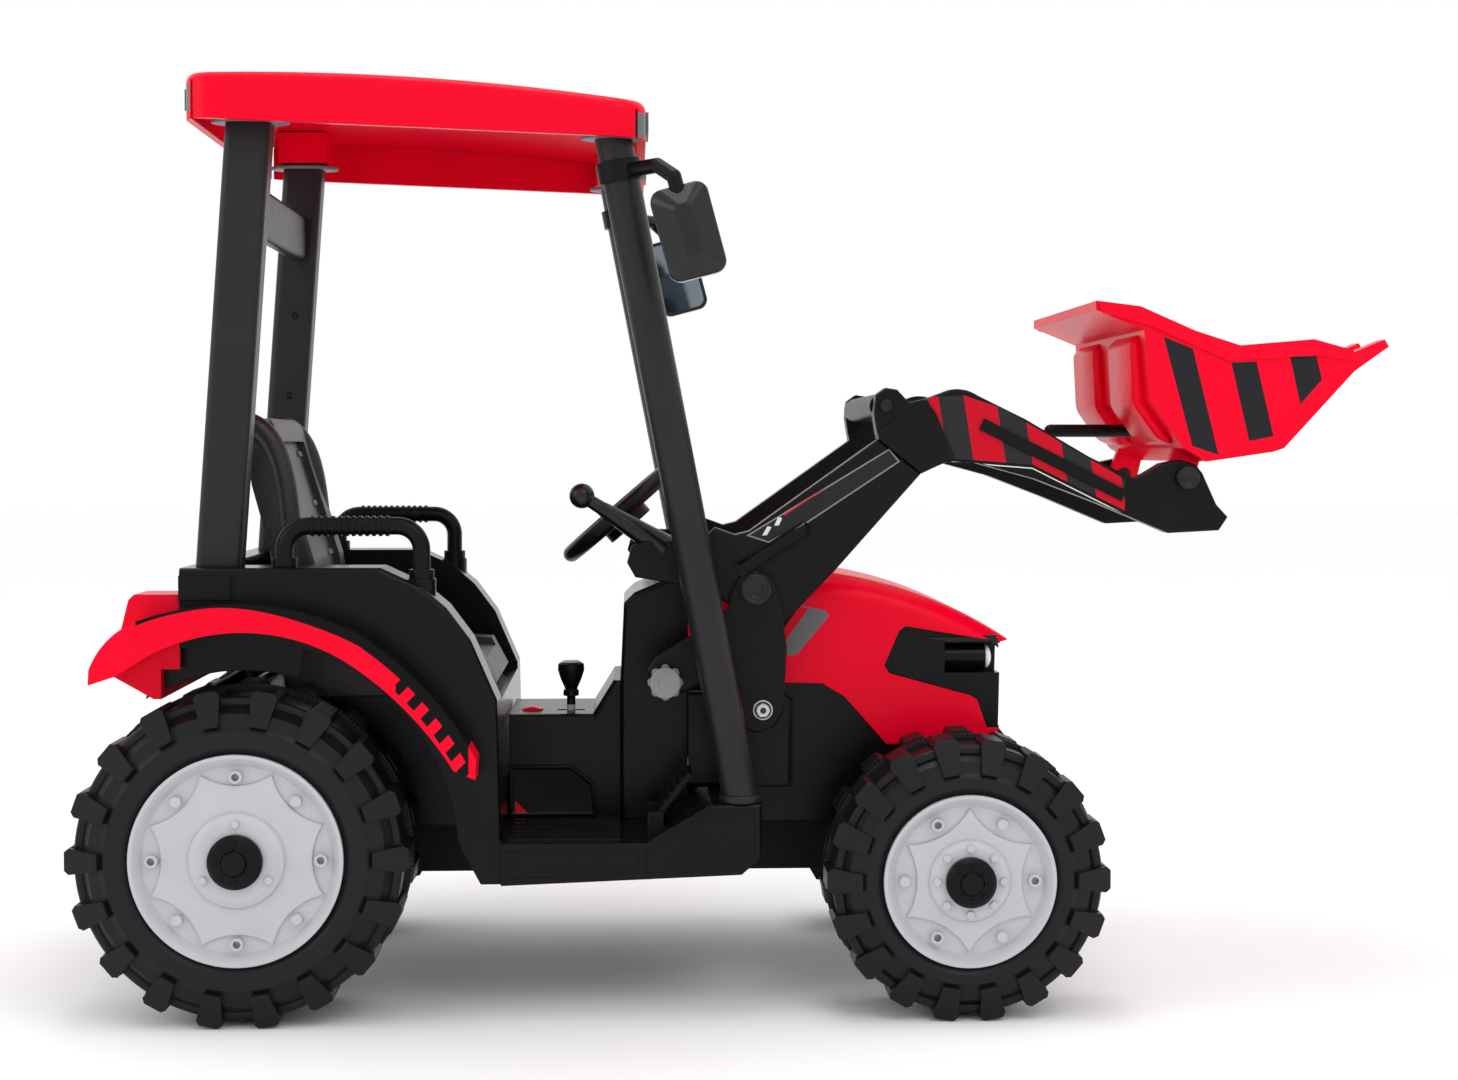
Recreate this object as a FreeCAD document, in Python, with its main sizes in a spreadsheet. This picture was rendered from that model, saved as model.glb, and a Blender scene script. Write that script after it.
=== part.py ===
"""Ride-on toy tractor with a roof and a hand-worked front loader.

Frame: +X forward, +Y to the rider's left, +Z up, millimetres. The origin is on the ground in
the middle of the footprint. Pieces on the rider's right lie at negative Y; a left-hand twin is
the mirror image of its right-hand piece.
"""
import FreeCAD, Part
import Sketcher
import math
import os
import re

SIZES = {
    # Wheels and running gear
    "rear_axle_x": -540.0,
    "rear_tyre_radius": 181.0,
    "rear_tyre_width": 150.0,
    "rear_rim_radius": 113.0,
    "rear_carcass_radius": 166.0,
    "front_axle_x": 240.0,
    "front_tyre_radius": 153.0,
    "front_tyre_width": 125.0,
    "front_rim_radius": 93.0,
    "front_carcass_radius": 139.0,
    "wheel_outer_y": 295.0,
    "lug_count": 18.0,
    "lug_tip_half": 14.0,
    "lug_root_half": 9.0,
    "lug_side_depth": 37.0,
    "band_drop": 4.0,
    "rim_recess": 14.0,
    "rim_lip": 7.0,
    "rim_wall": 5.0,
    "axle_radius": 6.0,
    "running_fit": 0.08,
    "hub_radius": 19.0,
    "hubcap_radius": 29.0,
    "hubcap_height": 16.0,
    "boss_radius": 50.0,
    "peg_radius": 7.0,
    "peg_bore": 4.0,
    "kingpin_y": 142.0,
    "kingpin_radius": 6.0,
    "knuckle_half": 12.0,
    "axle_beam_half": 17.0,
    "steer_arm": 48.0,
    "tie_rod_radius": 5.0,
    "gearbox_half": 27.0,
    "side_gap": 0.5,
    # Lower chassis, battery
    "chassis_rear_x": -575.0,
    "chassis_front_x": 275.0,
    "chassis_half": 72.0,
    "chassis_bottom_z": 128.0,
    "plastic_wall": 4.0,
    "battery_length": 100.0,
    "battery_width": 95.0,
    "battery_height": 58.0,
    # Rear body, fenders, tail
    "body_half": 252.0,
    "body_rear_x": -604.0,
    "body_top_z": 489.0,
    "body_front_x": -263.0,
    "seat_box_half": 132.0,
    "seat_well_half": 186.0,
    "seat_deck_z": 338.0,
    "arch_radius": 231.0,
    "fender_half": 300.0,
    "fender_sheet": 4.0,
    "tail_top_z": 461.0,
    "tail_drop": 112.0,
    "tail_dip": 42.0,
    "tail_length": 80.0,
    # Floor, console, dash
    "floor_half": 262.0,
    "floor_z": 192.0,
    "sill_bottom_z": 147.0,
    "floor_front_x": 18.0,
    "pod_top_z": 233.0,
    "pod_length": 54.0,
    "console_half": 86.0,
    "console_top_z": 311.0,
    "console_front_x": -135.0,
    "tread_height": 3.0,
    "tread_count": 6.0,
    "dash_half": 100.0,
    "dash_rear_x": -135.0,
    "dash_front_x": -58.0,
    "dash_top_z": 452.0,
    "dash_peak_z": 478.0,
    # Front body, hood, grille, lamps
    "engine_half": 116.0,
    "engine_wide_half": 139.0,
    "hood_half": 120.0,
    "hood_crest_z": 478.0,
    "nose_x": 312.0,
    "nose_bottom_z": 284.0,
    "grille_half": 113.0,
    "lamp_radius": 15.0,
    "lamp_y": 96.0,
    "lamp_z": 377.0,
    "lens_depth": 8.0,
    # Seat and armrests
    "seat_half": 128.0,
    "seat_top_z": 651.0,
    "cushion_half": 84.0,
    "armrest_y": 226.0,
    "armrest_rear_x": -496.0,
    "armrest_front_x": -349.0,
    "armrest_grip_z": 533.0,
    "armrest_radius": 9.5,
    "armrest_foot_z": 476.0,
    "armrest_bend": 26.0,
    "grip_rib_count": 12.0,
    "grip_rib_height": 1.6,
    # Roof and its posts
    "rear_post_y": 202.0,
    "rear_post_width": 49.0,
    "rear_post_depth": 40.0,
    "rear_post_base_x": -569.0,
    "rear_post_top_x": -532.5,
    "front_post_y": 238.0,
    "front_post_radius": 20.5,
    "front_post_base_x": -3.0,
    "front_post_top_x": -141.0,
    "roof_half": 275.0,
    "roof_rear_x": -593.0,
    "roof_front_x": -106.0,
    "roof_skirt_rear_z": 964.0,
    "roof_skirt_front_z": 945.0,
    "roof_edge_z": 1010.0,
    "roof_crown": 16.0,
    "roof_sheet": 6.0,
    "roof_corner": 34.0,
    "roof_inset": 9.0,
    "roof_brow_radius": 12.0,
    "roof_socket_rear_z": 974.0,
    "roof_socket_front_z": 950.0,
    "crossbar_z": 880.0,
    "crossbar_height": 56.0,
    "crossbar_depth": 22.0,
    # Mirrors
    "mirror_y": 310.0,
    "mirror_x": -62.0,
    "mirror_z": 843.0,
    "mirror_width": 62.0,
    "mirror_height": 98.0,
    "mirror_depth": 30.0,
    "mirror_lean": 15.0,
    "mirror_arm_radius": 8.0,
    # Steering wheel and controls
    "steer_x": -137.0,
    "steer_z": 541.0,
    "steer_radius": 84.0,
    "steer_rim_radius": 9.5,
    "steer_tilt": 41.0,
    "column_radius": 7.0,
    "column_length": 225.0,
    "gear_x": -193.0,
    "gear_y": 40.0,
    "switch_x": -238.0,
    "pedal_x": -110.0,
    "pedal_y": 178.0,
    "pedal_length": 62.0,
    "pedal_angle": 52.0,
    "pedal_width": 64.0,
    # Loader and bucket
    "arm_y": 166.0,
    "arm_half": 14.0,
    "pivot_x": 15.0,
    "pivot_z": 461.0,
    "pivot_radius": 9.0,
    "tower_plate": 7.0,
    "tower_gap": 2.5,
    "tower_bolt_x": 23.0,
    "tower_bolt_z": 327.0,
    "knob_x": -85.0,
    "knob_z": 359.0,
    "elbow_x": 160.0,
    "elbow_z": 664.0,
    "beam_half": 15.0,
    "lever_ball_x": -177.0,
    "lever_ball_z": 564.0,
    "lever_ball_radius": 14.0,
    "bucket_half": 192.0,
    "bucket_wall": 5.0,
    "bucket_pivot_x": 498.0,
    "bucket_pivot_z": 584.0,
    "bucket_pin_radius": 8.0,
    "bucket_ear": 12.0,
    "tooth_tip_x": 721.2,
    "tooth_count": 5.0,
    "tooth_half": 14.0,
}

doc = FreeCAD.newDocument("RideOnTractor")
sheet = doc.addObject("Spreadsheet::Sheet", "Sizes")
for row, (alias, number) in enumerate(SIZES.items(), start=1):
    sheet.set("A%d" % row, alias)
    sheet.set("B%d" % row, str(number))
    sheet.setAlias("B%d" % row, alias)
doc.recompute()

NODES = []


def bind(text):
    """An expression on the size sheet, from a text that uses the bare size names."""
    return re.sub(r"[a-z_]+", lambda word: "Sizes." + word.group() if word.group() in SIZES else word.group(),
                  str(text))


def size(text):
    """The number that a text of size names gives now."""
    found = sheet.evalExpression(bind(text))
    return float(getattr(found, "Value", found))


def point(x, y, z):
    """A point from three texts of size names."""
    return FreeCAD.Vector(size(x), size(y), size(z))


def node(obj, label):
    """Names a finished piece, so that it is written as a part of its own."""
    obj.Label = label
    NODES.append(obj)
    return obj


def mirrored(obj, label):
    """The left-hand twin of a right-hand piece."""
    twin = doc.addObject("Part::Mirroring", label)
    twin.Source = obj
    twin.Normal = FreeCAD.Vector(0, 1, 0)
    return node(twin, label)


def new_body(name):
    return doc.addObject("PartDesign::Body", name)


def place(body, x="0", y="0", z="0"):
    """Puts a body's own origin at a point given by size names."""
    for axis, text in zip("xyz", (x, y, z)):
        body.setExpression("Placement.Base." + axis, bind(text))


def sketch_on(body, name, plane, lift="0"):
    """An empty sketch on one of the body's origin planes, lifted along the plane's normal."""
    sketch = body.newObject("Sketcher::SketchObject", name)
    support = [item for item in body.Origin.OriginFeatures if item.Role == plane][0]
    sketch.AttachmentSupport = [(support, "")]
    sketch.MapMode = "FlatFace"
    sketch.setExpression("AttachmentOffset.Base.z", bind(lift))
    return sketch


def pin_vertex(sketch, edge, end, x, y):
    """Fixes one end of a sketch edge at a place given by size names."""
    for kind, text in (("DistanceX", x), ("DistanceY", y)):
        index = sketch.addConstraint(Sketcher.Constraint(kind, -1, 1, edge, end, size(text)))
        sketch.setExpression("Constraints[%d]" % index, bind(text))


def arc_between(start, end, sagitta):
    """An arc that swells to the right of the way from start to end, or to the left if negative."""
    along = end - start
    left = FreeCAD.Vector(-along.y, along.x, 0).normalize()
    radius = (along.Length ** 2 / 4 + sagitta ** 2) / (2 * abs(sagitta))
    inward = radius - abs(sagitta)
    centre = (start + end) * 0.5 + left * math.copysign(inward, sagitta)
    begin, finish = (start, end) if sagitta > 0 else (end, start)
    angles = [math.atan2(spot.y - centre.y, spot.x - centre.x) for spot in (begin, finish)]
    return Part.ArcOfCircle(Part.Circle(centre, FreeCAD.Vector(0, 0, 1), radius), angles[0], angles[1])


def draw_edge(sketch, here, there, sagitta):
    """A line or an arc from corner to corner; gives the numbers of its first and last point."""
    if sagitta == 0:
        sketch.addGeometry(Part.LineSegment(here, there), False)
        return (1, 2)
    sketch.addGeometry(arc_between(here, there, sagitta), False)
    return (1, 2) if sagitta > 0 else (2, 1)


def draw_loop(sketch, corners, closed=True):
    """An outline: corners are (x, y), or (x, y, sagitta) where an arc leads to the next one."""
    first = sketch.GeometryCount
    total = len(corners)
    edges = total if closed else total - 1
    spots = [FreeCAD.Vector(size(c[0]), size(c[1]), 0) for c in corners]
    swell = [size(c[2]) if len(c) == 3 else 0 for c in corners]
    ends = [draw_edge(sketch, spots[i], spots[(i + 1) % total], swell[i]) for i in range(edges)]
    for i in range(edges if closed else edges - 1):
        after = (i + 1) % total
        joint = Sketcher.Constraint("Coincident", first + i, ends[i][1], first + after, ends[after][0])
        sketch.addConstraint(joint)
    for i in range(edges):
        pin_vertex(sketch, first + i, ends[i][0], corners[i][0], corners[i][1])
        if swell[i]:
            after = corners[(i + 1) % total]
            wide = "(%s) - (%s)" % (after[0], corners[i][0])
            tall = "(%s) - (%s)" % (after[1], corners[i][1])
            chord = "(%s) * (%s) + (%s) * (%s)" % (wide, wide, tall, tall)
            dip = corners[i][2]
            radius = "((%s) / 4 + (%s) * (%s)) / (2 * abs(%s))" % (chord, dip, dip, dip)
            index = sketch.addConstraint(Sketcher.Constraint("Radius", first + i, size(radius)))
            sketch.setExpression("Constraints[%d]" % index, bind(radius))
    if not closed:
        pin_vertex(sketch, first + edges - 1, ends[-1][1], corners[-1][0], corners[-1][1])


def draw_circle(sketch, x, y, radius):
    """A circle at a place and radius given by size names."""
    centre = FreeCAD.Vector(size(x), size(y), 0)
    edge = sketch.addGeometry(Part.Circle(centre, FreeCAD.Vector(0, 0, 1), size(radius)), False)
    index = sketch.addConstraint(Sketcher.Constraint("Radius", edge, size(radius)))
    sketch.setExpression("Constraints[%d]" % index, bind(radius))
    pin_vertex(sketch, edge, 3, x, y)


def pad(body, name, plane, loops, start, length, circles=()):
    """A straight block: outlines on a plane at height start, raised by length along the normal."""
    sketch = sketch_on(body, name + "Sketch", plane, start)
    for loop in loops:
        draw_loop(sketch, loop)
    for circle in circles:
        draw_circle(sketch, *circle)
    feature = body.newObject("PartDesign::Pad", name)
    feature.Profile = sketch
    feature.setExpression("Length", bind(length))
    doc.recompute()
    return feature


def pocket(body, name, plane, loops, start, depth, circles=()):
    """A straight cut: outlines on a plane at height start, cut along the normal by depth."""
    before = body.Shape.Volume
    sketch = sketch_on(body, name + "Sketch", plane, start)
    for loop in loops:
        draw_loop(sketch, loop)
    for circle in circles:
        draw_circle(sketch, *circle)
    feature = body.newObject("PartDesign::Pocket", name)
    feature.Profile = sketch
    feature.Reversed = True
    feature.setExpression("Length", bind(depth))
    doc.recompute()
    if not body.Shape.Volume < before:
        raise RuntimeError(name + " cut nothing")
    return feature


def revolve(body, name, plane, loops, axis, circles=(), kind="Revolution"):
    """A turned form, or a turned cut of kind Groove, about one of the sketch's own axes."""
    sketch = sketch_on(body, name + "Sketch", plane)
    for loop in loops:
        draw_loop(sketch, loop)
    for circle in circles:
        draw_circle(sketch, *circle)
    feature = body.newObject("PartDesign::" + kind, name)
    feature.Profile = sketch
    feature.ReferenceAxis = (sketch, [axis])
    feature.Angle = 360.0
    doc.recompute()
    return feature


def loft(body, name, kind, plane, sections):
    """A form through outlines on parallel planes: sections are (lift, outline)."""
    sketches = []
    for i, (lift, loop) in enumerate(sections):
        sketch = sketch_on(body, "%sSketch%d" % (name, i), plane, lift)
        draw_loop(sketch, loop)
        sketches.append(sketch)
    feature = body.newObject("PartDesign::" + kind, name)
    feature.Profile = sketches[0]
    feature.Sections = sketches[1:]
    body.Tip = feature
    doc.recompute()
    return feature


def sweep(body, name, path, radius):
    """A round bar along a path in the XZ plane: corners as in an outline, but left open."""
    spine = sketch_on(body, name + "Path", "XZ_Plane")
    draw_loop(spine, path, closed=False)
    section = sketch_on(body, name + "Section", "XY_Plane", path[0][1])
    draw_circle(section, path[0][0], "0", radius)
    feature = body.newObject("PartDesign::AdditivePipe", name)
    feature.Profile = section
    feature.Spine = spine
    doc.recompute()
    return feature


def tilt(body, angle):
    """Turns a body about its own Y axis: positive leans its top forward."""
    body.Placement = FreeCAD.Placement(body.Placement.Base, FreeCAD.Rotation(FreeCAD.Vector(0, 1, 0), 1))
    body.setExpression("Placement.Rotation.Angle", bind(angle))


def ring_of(body, name, features, role, count):
    """Copies of features spread evenly round an axis of the body."""
    axis = [item for item in body.Origin.OriginFeatures if item.Role == role][0]
    pattern = body.newObject("PartDesign::PolarPattern", name)
    pattern.Originals = features
    pattern.Axis = (axis, [""])
    pattern.Angle = 360.0
    pattern.setExpression("Occurrences", bind(count))
    body.Tip = pattern
    doc.recompute()
    return pattern


def row_of(body, name, features, role, length, count):
    """Copies of features spread evenly along an axis of the body."""
    axis = [item for item in body.Origin.OriginFeatures if item.Role == role][0]
    pattern = body.newObject("PartDesign::LinearPattern", name)
    pattern.Originals = features
    pattern.Direction = (axis, [""])
    pattern.setExpression("Length", bind(length))
    pattern.setExpression("Occurrences", bind(count))
    body.Tip = pattern
    doc.recompute()
    return pattern


def soften(body, name, radius, chosen):
    """Rounds the edges of the body so far for which chosen(edge) is true."""
    base = body.Tip
    names = ["Edge%d" % (i + 1) for i, edge in enumerate(base.Shape.Edges) if chosen(edge)]
    feature = body.newObject("PartDesign::Fillet", name)
    feature.Base = (base, names)
    feature.setExpression("Radius", bind(radius))
    body.Tip = feature
    doc.recompute()
    if "Invalid" in feature.State or not feature.Shape.isValid():
        raise RuntimeError("%s could not round its %d edges" % (name, len(names)))
    return feature


def along_y(edge):
    """True for a straight edge parallel to Y."""
    ends = [vertex.Point for vertex in edge.Vertexes]
    if len(ends) != 2:
        return False
    run = ends[1] - ends[0]
    return abs(run.y) > 0.999 * run.Length and run.Length > 1.0


def turned(corners, angle):
    """Corners (x, y) as size texts, turned about the origin by an angle in degrees."""
    return [("(%s) * cos(%s) - (%s) * sin(%s)" % (x, angle, y, angle),
             "(%s) * sin(%s) + (%s) * cos(%s)" % (x, angle, y, angle)) for x, y in corners]


def scalloped(count, radius, dip):
    """A round outline of hollow arcs that meet in points."""
    angles = [360.0 * (i + 0.5) / count for i in range(count)]
    return [("(%s) * cos(%s)" % (radius, a), "(%s) * sin(%s)" % (radius, a), "-(%s)" % dip) for a in angles]


def build_tyre(name, radius, carcass, rim, width):
    """A hollow tyre, open towards its rim, with two staggered rows of lugs and a ring between them."""
    body = new_body(name)
    w = "(%s)" % width
    outer = [(rim, "9"), (rim + " + 8", "4"), (carcass + " - 28", "2.5"), (carcass + " - 23", "5.5"),
             (carcass + " - 10", "10"), (carcass + " - 2", "20"), (carcass, "30")]
    inner = [(carcass + " - 7", "38"), (carcass + " - 13", "26"), (carcass + " - 30", "12"), (rim, "16")]
    loop = outer + [(r, w + " - " + y) for r, y in reversed(outer)]
    loop += [(r, w + " - " + y) for r, y in reversed(inner)] + inner
    revolve(body, name + "Carcass", "XY_Plane", [loop], "V_Axis")
    tip = [("-lug_tip_half", "-%s + 5" % radius), ("4 - lug_tip_half", "-" + radius),
           ("lug_tip_half - 4", "-" + radius), ("lug_tip_half", "-%s + 5" % radius)]
    deep = "-(%s - lug_side_depth)" % radius
    shallow = "-(%s - 4)" % carcass
    side = [("-lug_root_half", deep)] + tip + [("lug_root_half", deep)]
    tread = [("-lug_tip_half - 2", shallow)] + tip + [("lug_tip_half + 2", shallow)]
    half_step = "180 / lug_count"
    shoulder = pad(body, name + "LugSide", "XZ_Plane", [turned(side, half_step)], "-24", "24")
    near = pad(body, name + "LugNear", "XZ_Plane", [turned(tread, half_step)], "-0.52 * " + w, "0.52 * %s - 20" % w)
    far = pad(body, name + "LugFar", "XZ_Plane", [tread], "-" + w, "0.36 * " + w)
    ring_of(body, name + "Lugs", [shoulder, near, far], "Y_Axis", "lug_count")
    shoulder_cut = [(radius + " - lug_side_depth", "-1"), (radius + " + 2", "-1"), (radius + " + 2", "13")]
    revolve(body, name + "LugSlope", "XY_Plane", [shoulder_cut], "V_Axis", kind="Groove")
    band = [(carcass + " - 3", "0.5 * " + w), (radius + " - band_drop", "0.5 * " + w),
            (radius + " - band_drop", "0.66 * " + w), (carcass + " - 3", "0.66 * " + w)]
    revolve(body, name + "Band", "XY_Plane", [band], "V_Axis")
    return body


def build_rim(name, rim, width, boss, peg_ring, peg_count, bump_ring, bump_count):
    """A dished rim with a scalloped web, pegs and a long hub that turns on the axle."""
    body = new_body(name)
    bore = "axle_radius + running_fit"
    back = "rim_recess + rim_wall"
    loop = [(bore, "4"), (boss + " - 6", "4"), (boss, "7"), (boss + " + 3", "rim_recess"),
            (rim + " - rim_lip - 6", "rim_recess"), (rim + " - rim_lip", "6"), (rim + " - 4", "3"), (rim, "3"),
            (rim, width + " - 9"), (rim + " - rim_wall", width + " - 9"), (rim + " - rim_wall", back),
            ("hub_radius", back), ("hub_radius", width + " - 12"), (bore, width + " - 12")]
    revolve(body, name + "Dish", "XY_Plane", [loop], "V_Axis")
    pad(body, name + "Web", "XZ_Plane", [scalloped(2 * peg_count, rim + " - 15", "11")],
        "-(rim_recess + 1)", "4", [("0", "0", boss + " - 2")])
    hollow = pad(body, name + "Peg", "XZ_Plane", [], "-(rim_recess + 1)", "rim_recess - 4",
                 [(peg_ring, "0", "peg_radius"), (peg_ring, "0", "peg_bore")])
    step = "%s" % (180.0 / peg_count)
    stud = pad(body, name + "Stud", "XZ_Plane", [], "-(rim_recess + 1)", "rim_recess - 5",
               [("(%s) * cos(%s)" % (peg_ring, step), "(%s) * sin(%s)" % (peg_ring, step), "peg_radius - 1")])
    ring_of(body, name + "Pegs", [hollow, stud], "Y_Axis", str(peg_count))
    bump = pad(body, name + "Bump", "XZ_Plane", [], "-5", "4", [("0", bump_ring, "4.5")])
    ring_of(body, name + "Bumps", [bump], "Y_Axis", str(bump_count))
    return body


def build_hubcap(name, radius, height):
    """A domed cap over the axle's end, with a ring of bolt heads."""
    body = new_body(name)
    loop = [("axle_radius + 2", "4"), ("axle_radius + 2", "-1"), ("0", "-1"), ("0", "4 - (%s)" % height),
            ("0.42 * (%s)" % radius, "4 - (%s)" % height), ("0.5 * (%s)" % radius, "8 - (%s)" % height),
            ("0.86 * (%s)" % radius, "9 - (%s)" % height), (radius, "13 - (%s)" % height), (radius, "4")]
    revolve(body, name + "Dome", "XY_Plane", [loop], "V_Axis")
    bolt = pad(body, name + "Bolt", "XZ_Plane", [], "-4", "(%s) - 2.5" % height,
               [("0", "0.7 * (%s)" % radius, "2.6")])
    ring_of(body, name + "Bolts", [bolt], "Y_Axis", "8")
    return body


def build_wheel(end, axle_x, radius, carcass, rim, width, rim_pattern, cap):
    """Tyre, rim and hub cap of one wheel, and the same for the other side."""
    pieces = [(build_tyre(end + "_tyre", radius, carcass, rim, width), "tyre"),
              (build_rim(end + "_rim", rim, width, *rim_pattern), "rim"),
              (build_hubcap(end + "_hubcap", *cap), "hubcap")]
    for body, word in pieces:
        place(body, axle_x, "-wheel_outer_y", radius)
        node(body, "%s_%s_right" % (end, word))
        mirrored(body, "%s_%s_left" % (end, word))


build_wheel("rear", "rear_axle_x", "rear_tyre_radius", "rear_carcass_radius", "rear_rim_radius",
            "rear_tyre_width", ("boss_radius", "89", 4, "40", 3), ("hubcap_radius", "hubcap_height"))
build_wheel("front", "front_axle_x", "front_tyre_radius", "front_carcass_radius", "front_rim_radius",
            "front_tyre_width", ("boss_radius - 7", "70", 3, "36", 8), ("hubcap_radius - 2", "hubcap_height + 1"))


def cylinder_y(name, x, y, z, radius, length):
    """A round bar along Y, from y onwards."""
    bar = doc.addObject("Part::Cylinder", name)
    bar.Placement = FreeCAD.Placement(FreeCAD.Vector(), FreeCAD.Rotation(FreeCAD.Vector(1, 0, 0), -90))
    place(bar, x, y, z)
    bar.setExpression("Radius", bind(radius))
    bar.setExpression("Height", bind(length))
    return bar


def cylinder_x(name, x, y, z, radius, length):
    """A round bar along X, from x onwards."""
    bar = doc.addObject("Part::Cylinder", name)
    bar.Placement = FreeCAD.Placement(FreeCAD.Vector(), FreeCAD.Rotation(FreeCAD.Vector(0, 1, 0), 90))
    place(bar, x, y, z)
    bar.setExpression("Radius", bind(radius))
    bar.setExpression("Height", bind(length))
    return bar


def box(name, x, y, z, length, width, height):
    """A block from its lowest corner."""
    block = doc.addObject("Part::Box", name)
    place(block, x, y, z)
    for side, text in (("Length", length), ("Width", width), ("Height", height)):
        block.setExpression(side, bind(text))
    return block


def twin(name, obj):
    """A mirror image that shares its node with the original."""
    copy = doc.addObject("Part::Mirroring", name)
    copy.Source = obj
    copy.Normal = FreeCAD.Vector(0, 1, 0)
    return copy


def group(name, shapes):
    """Several separate like pieces that share one node."""
    pack = doc.addObject("Part::Compound", name)
    pack.Links = shapes
    return node(pack, name)


def at_y(*texts):
    """Picks the edges that lie wholly at one of the given distances from the middle plane."""
    levels = [size(text) for text in texts]

    def chosen(edge):
        span = edge.BoundBox
        return any(abs(span.YMin - v) < 1e-4 and abs(span.YMax - v) < 1e-4 for v in levels)
    return chosen


def straight_above(chosen, front_of):
    """Of the chosen edges, the straight ones whose middle lies in front of a given X."""
    return lambda edge: (chosen(edge) and edge.Curve.TypeId == "Part::GeomLine"
                         and edge.CenterOfMass.x > size(front_of) and edge.BoundBox.ZMax > size("floor_z") + 1)


def long_above(chosen, level):
    """Of the chosen edges, the long ones that lie wholly above a given Z."""
    return lambda edge: chosen(edge) and edge.BoundBox.ZMin > size(level) and edge.Length > 20


def behind(chosen, front):
    """Of the chosen edges, those with their middle behind a given X and above the floor."""
    return lambda edge: (chosen(edge) and edge.CenterOfMass.x < size(front)
                         and edge.BoundBox.ZMax > size("floor_z") + 1)


def block_y(body, name, loop, half):
    """A block across the middle plane from a side outline."""
    return pad(body, name, "XZ_Plane", [loop], "-(%s)" % half, "2 * (%s)" % half)


def hollow_y(body, name, loop, half):
    """A hollow across the middle plane from a side outline."""
    return pocket(body, name, "XZ_Plane", [loop], "-(%s)" % half, "2 * (%s)" % half)


# Lower chassis: a tub, open above, that carries both axles, the gearboxes and the battery.
chassis = new_body("chassis_frame")
chassis_loop = [("chassis_rear_x", "chassis_bottom_z"), ("chassis_front_x", "chassis_bottom_z"),
                ("chassis_front_x", "floor_z"), ("chassis_rear_x", "floor_z")]
block_y(chassis, "TubBlock", chassis_loop, "chassis_half")
tub_hollow = [("chassis_rear_x + plastic_wall", "chassis_bottom_z + plastic_wall"),
              ("chassis_front_x - plastic_wall", "chassis_bottom_z + plastic_wall"),
              ("chassis_front_x - plastic_wall", "floor_z + 1"),
              ("chassis_rear_x + plastic_wall", "floor_z + 1")]
hollow_y(chassis, "TubHollow", tub_hollow, "chassis_half - plastic_wall")
pocket(chassis, "AxleBore", "XZ_Plane", [], "-chassis_half - 1", "2 * chassis_half + 2",
       [("rear_axle_x", "rear_tyre_radius", "axle_radius")])
beam_loop = [("front_axle_x - axle_beam_half", "front_tyre_radius - axle_beam_half"),
             ("front_axle_x + axle_beam_half", "front_tyre_radius - axle_beam_half"),
             ("front_axle_x + axle_beam_half", "front_tyre_radius + axle_beam_half"),
             ("front_axle_x - axle_beam_half", "front_tyre_radius + axle_beam_half")]
pocket(chassis, "BeamSlot", "XZ_Plane", [beam_loop], "-chassis_half - 1", "2 * chassis_half + 2")
rod_window = [("front_axle_x - steer_arm - 14", "front_tyre_radius - 18"),
              ("front_axle_x - steer_arm + 14", "front_tyre_radius - 18"),
              ("front_axle_x - steer_arm + 14", "front_tyre_radius + 14"),
              ("front_axle_x - steer_arm - 14", "front_tyre_radius + 14")]
pocket(chassis, "RodWindow", "XZ_Plane", [rod_window], "-chassis_half - 1", "2 * chassis_half + 2")
node(chassis, "chassis_frame")

battery = box("battery", "-430", "-battery_width / 2", "chassis_bottom_z + plastic_wall",
              "battery_length", "battery_width", "battery_height")
node(battery, "battery")

rear_axle = cylinder_y("rear_axle", "rear_axle_x", "-wheel_outer_y + 2", "rear_tyre_radius",
                       "axle_radius", "2 * wheel_outer_y - 4")
node(rear_axle, "rear_axle")

gearbox = new_body("Gearbox")
gear_loop = [("rear_axle_x - gearbox_half", "rear_tyre_radius - gearbox_half"),
             ("rear_axle_x + 2.6 * gearbox_half", "rear_tyre_radius - gearbox_half"),
             ("rear_axle_x + 2.6 * gearbox_half", "rear_tyre_radius + 0.6 * gearbox_half"),
             ("rear_axle_x + gearbox_half", "rear_tyre_radius + gearbox_half"),
             ("rear_axle_x - gearbox_half", "rear_tyre_radius + gearbox_half")]
pad(gearbox, "GearCase", "XZ_Plane", [gear_loop], "chassis_half", "50")
pocket(gearbox, "GearBore", "XZ_Plane", [], "chassis_half - 1", "60",
       [("rear_axle_x", "rear_tyre_radius", "axle_radius")])
soften(gearbox, "GearSoft", "5", along_y)
group("rear_gearboxes", [gearbox, twin("GearboxLeft", gearbox)])

# Front axle: a beam through the chassis with a fork at each end for a steering knuckle.
beam = new_body("front_axle_beam")
block_y(beam, "BeamBlock", beam_loop, "kingpin_y + 16")
fork_gap = [("front_axle_x - axle_beam_half - 1", "front_tyre_radius - knuckle_half"),
            ("front_axle_x + axle_beam_half + 1", "front_tyre_radius - knuckle_half"),
            ("front_axle_x + axle_beam_half + 1", "front_tyre_radius + knuckle_half"),
            ("front_axle_x - axle_beam_half - 1", "front_tyre_radius + knuckle_half")]
pocket(beam, "ForkRight", "XZ_Plane", [fork_gap], "kingpin_y - 22", "40")
pocket(beam, "ForkLeft", "XZ_Plane", [fork_gap], "-kingpin_y - 18", "40")
pocket(beam, "PinHoles", "XY_Plane", [], "front_tyre_radius - axle_beam_half - 1", "2 * axle_beam_half + 2",
       [("front_axle_x", "-kingpin_y", "kingpin_radius + running_fit"),
        ("front_axle_x", "kingpin_y", "kingpin_radius + running_fit")])
node(beam, "front_axle_beam")

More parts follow.
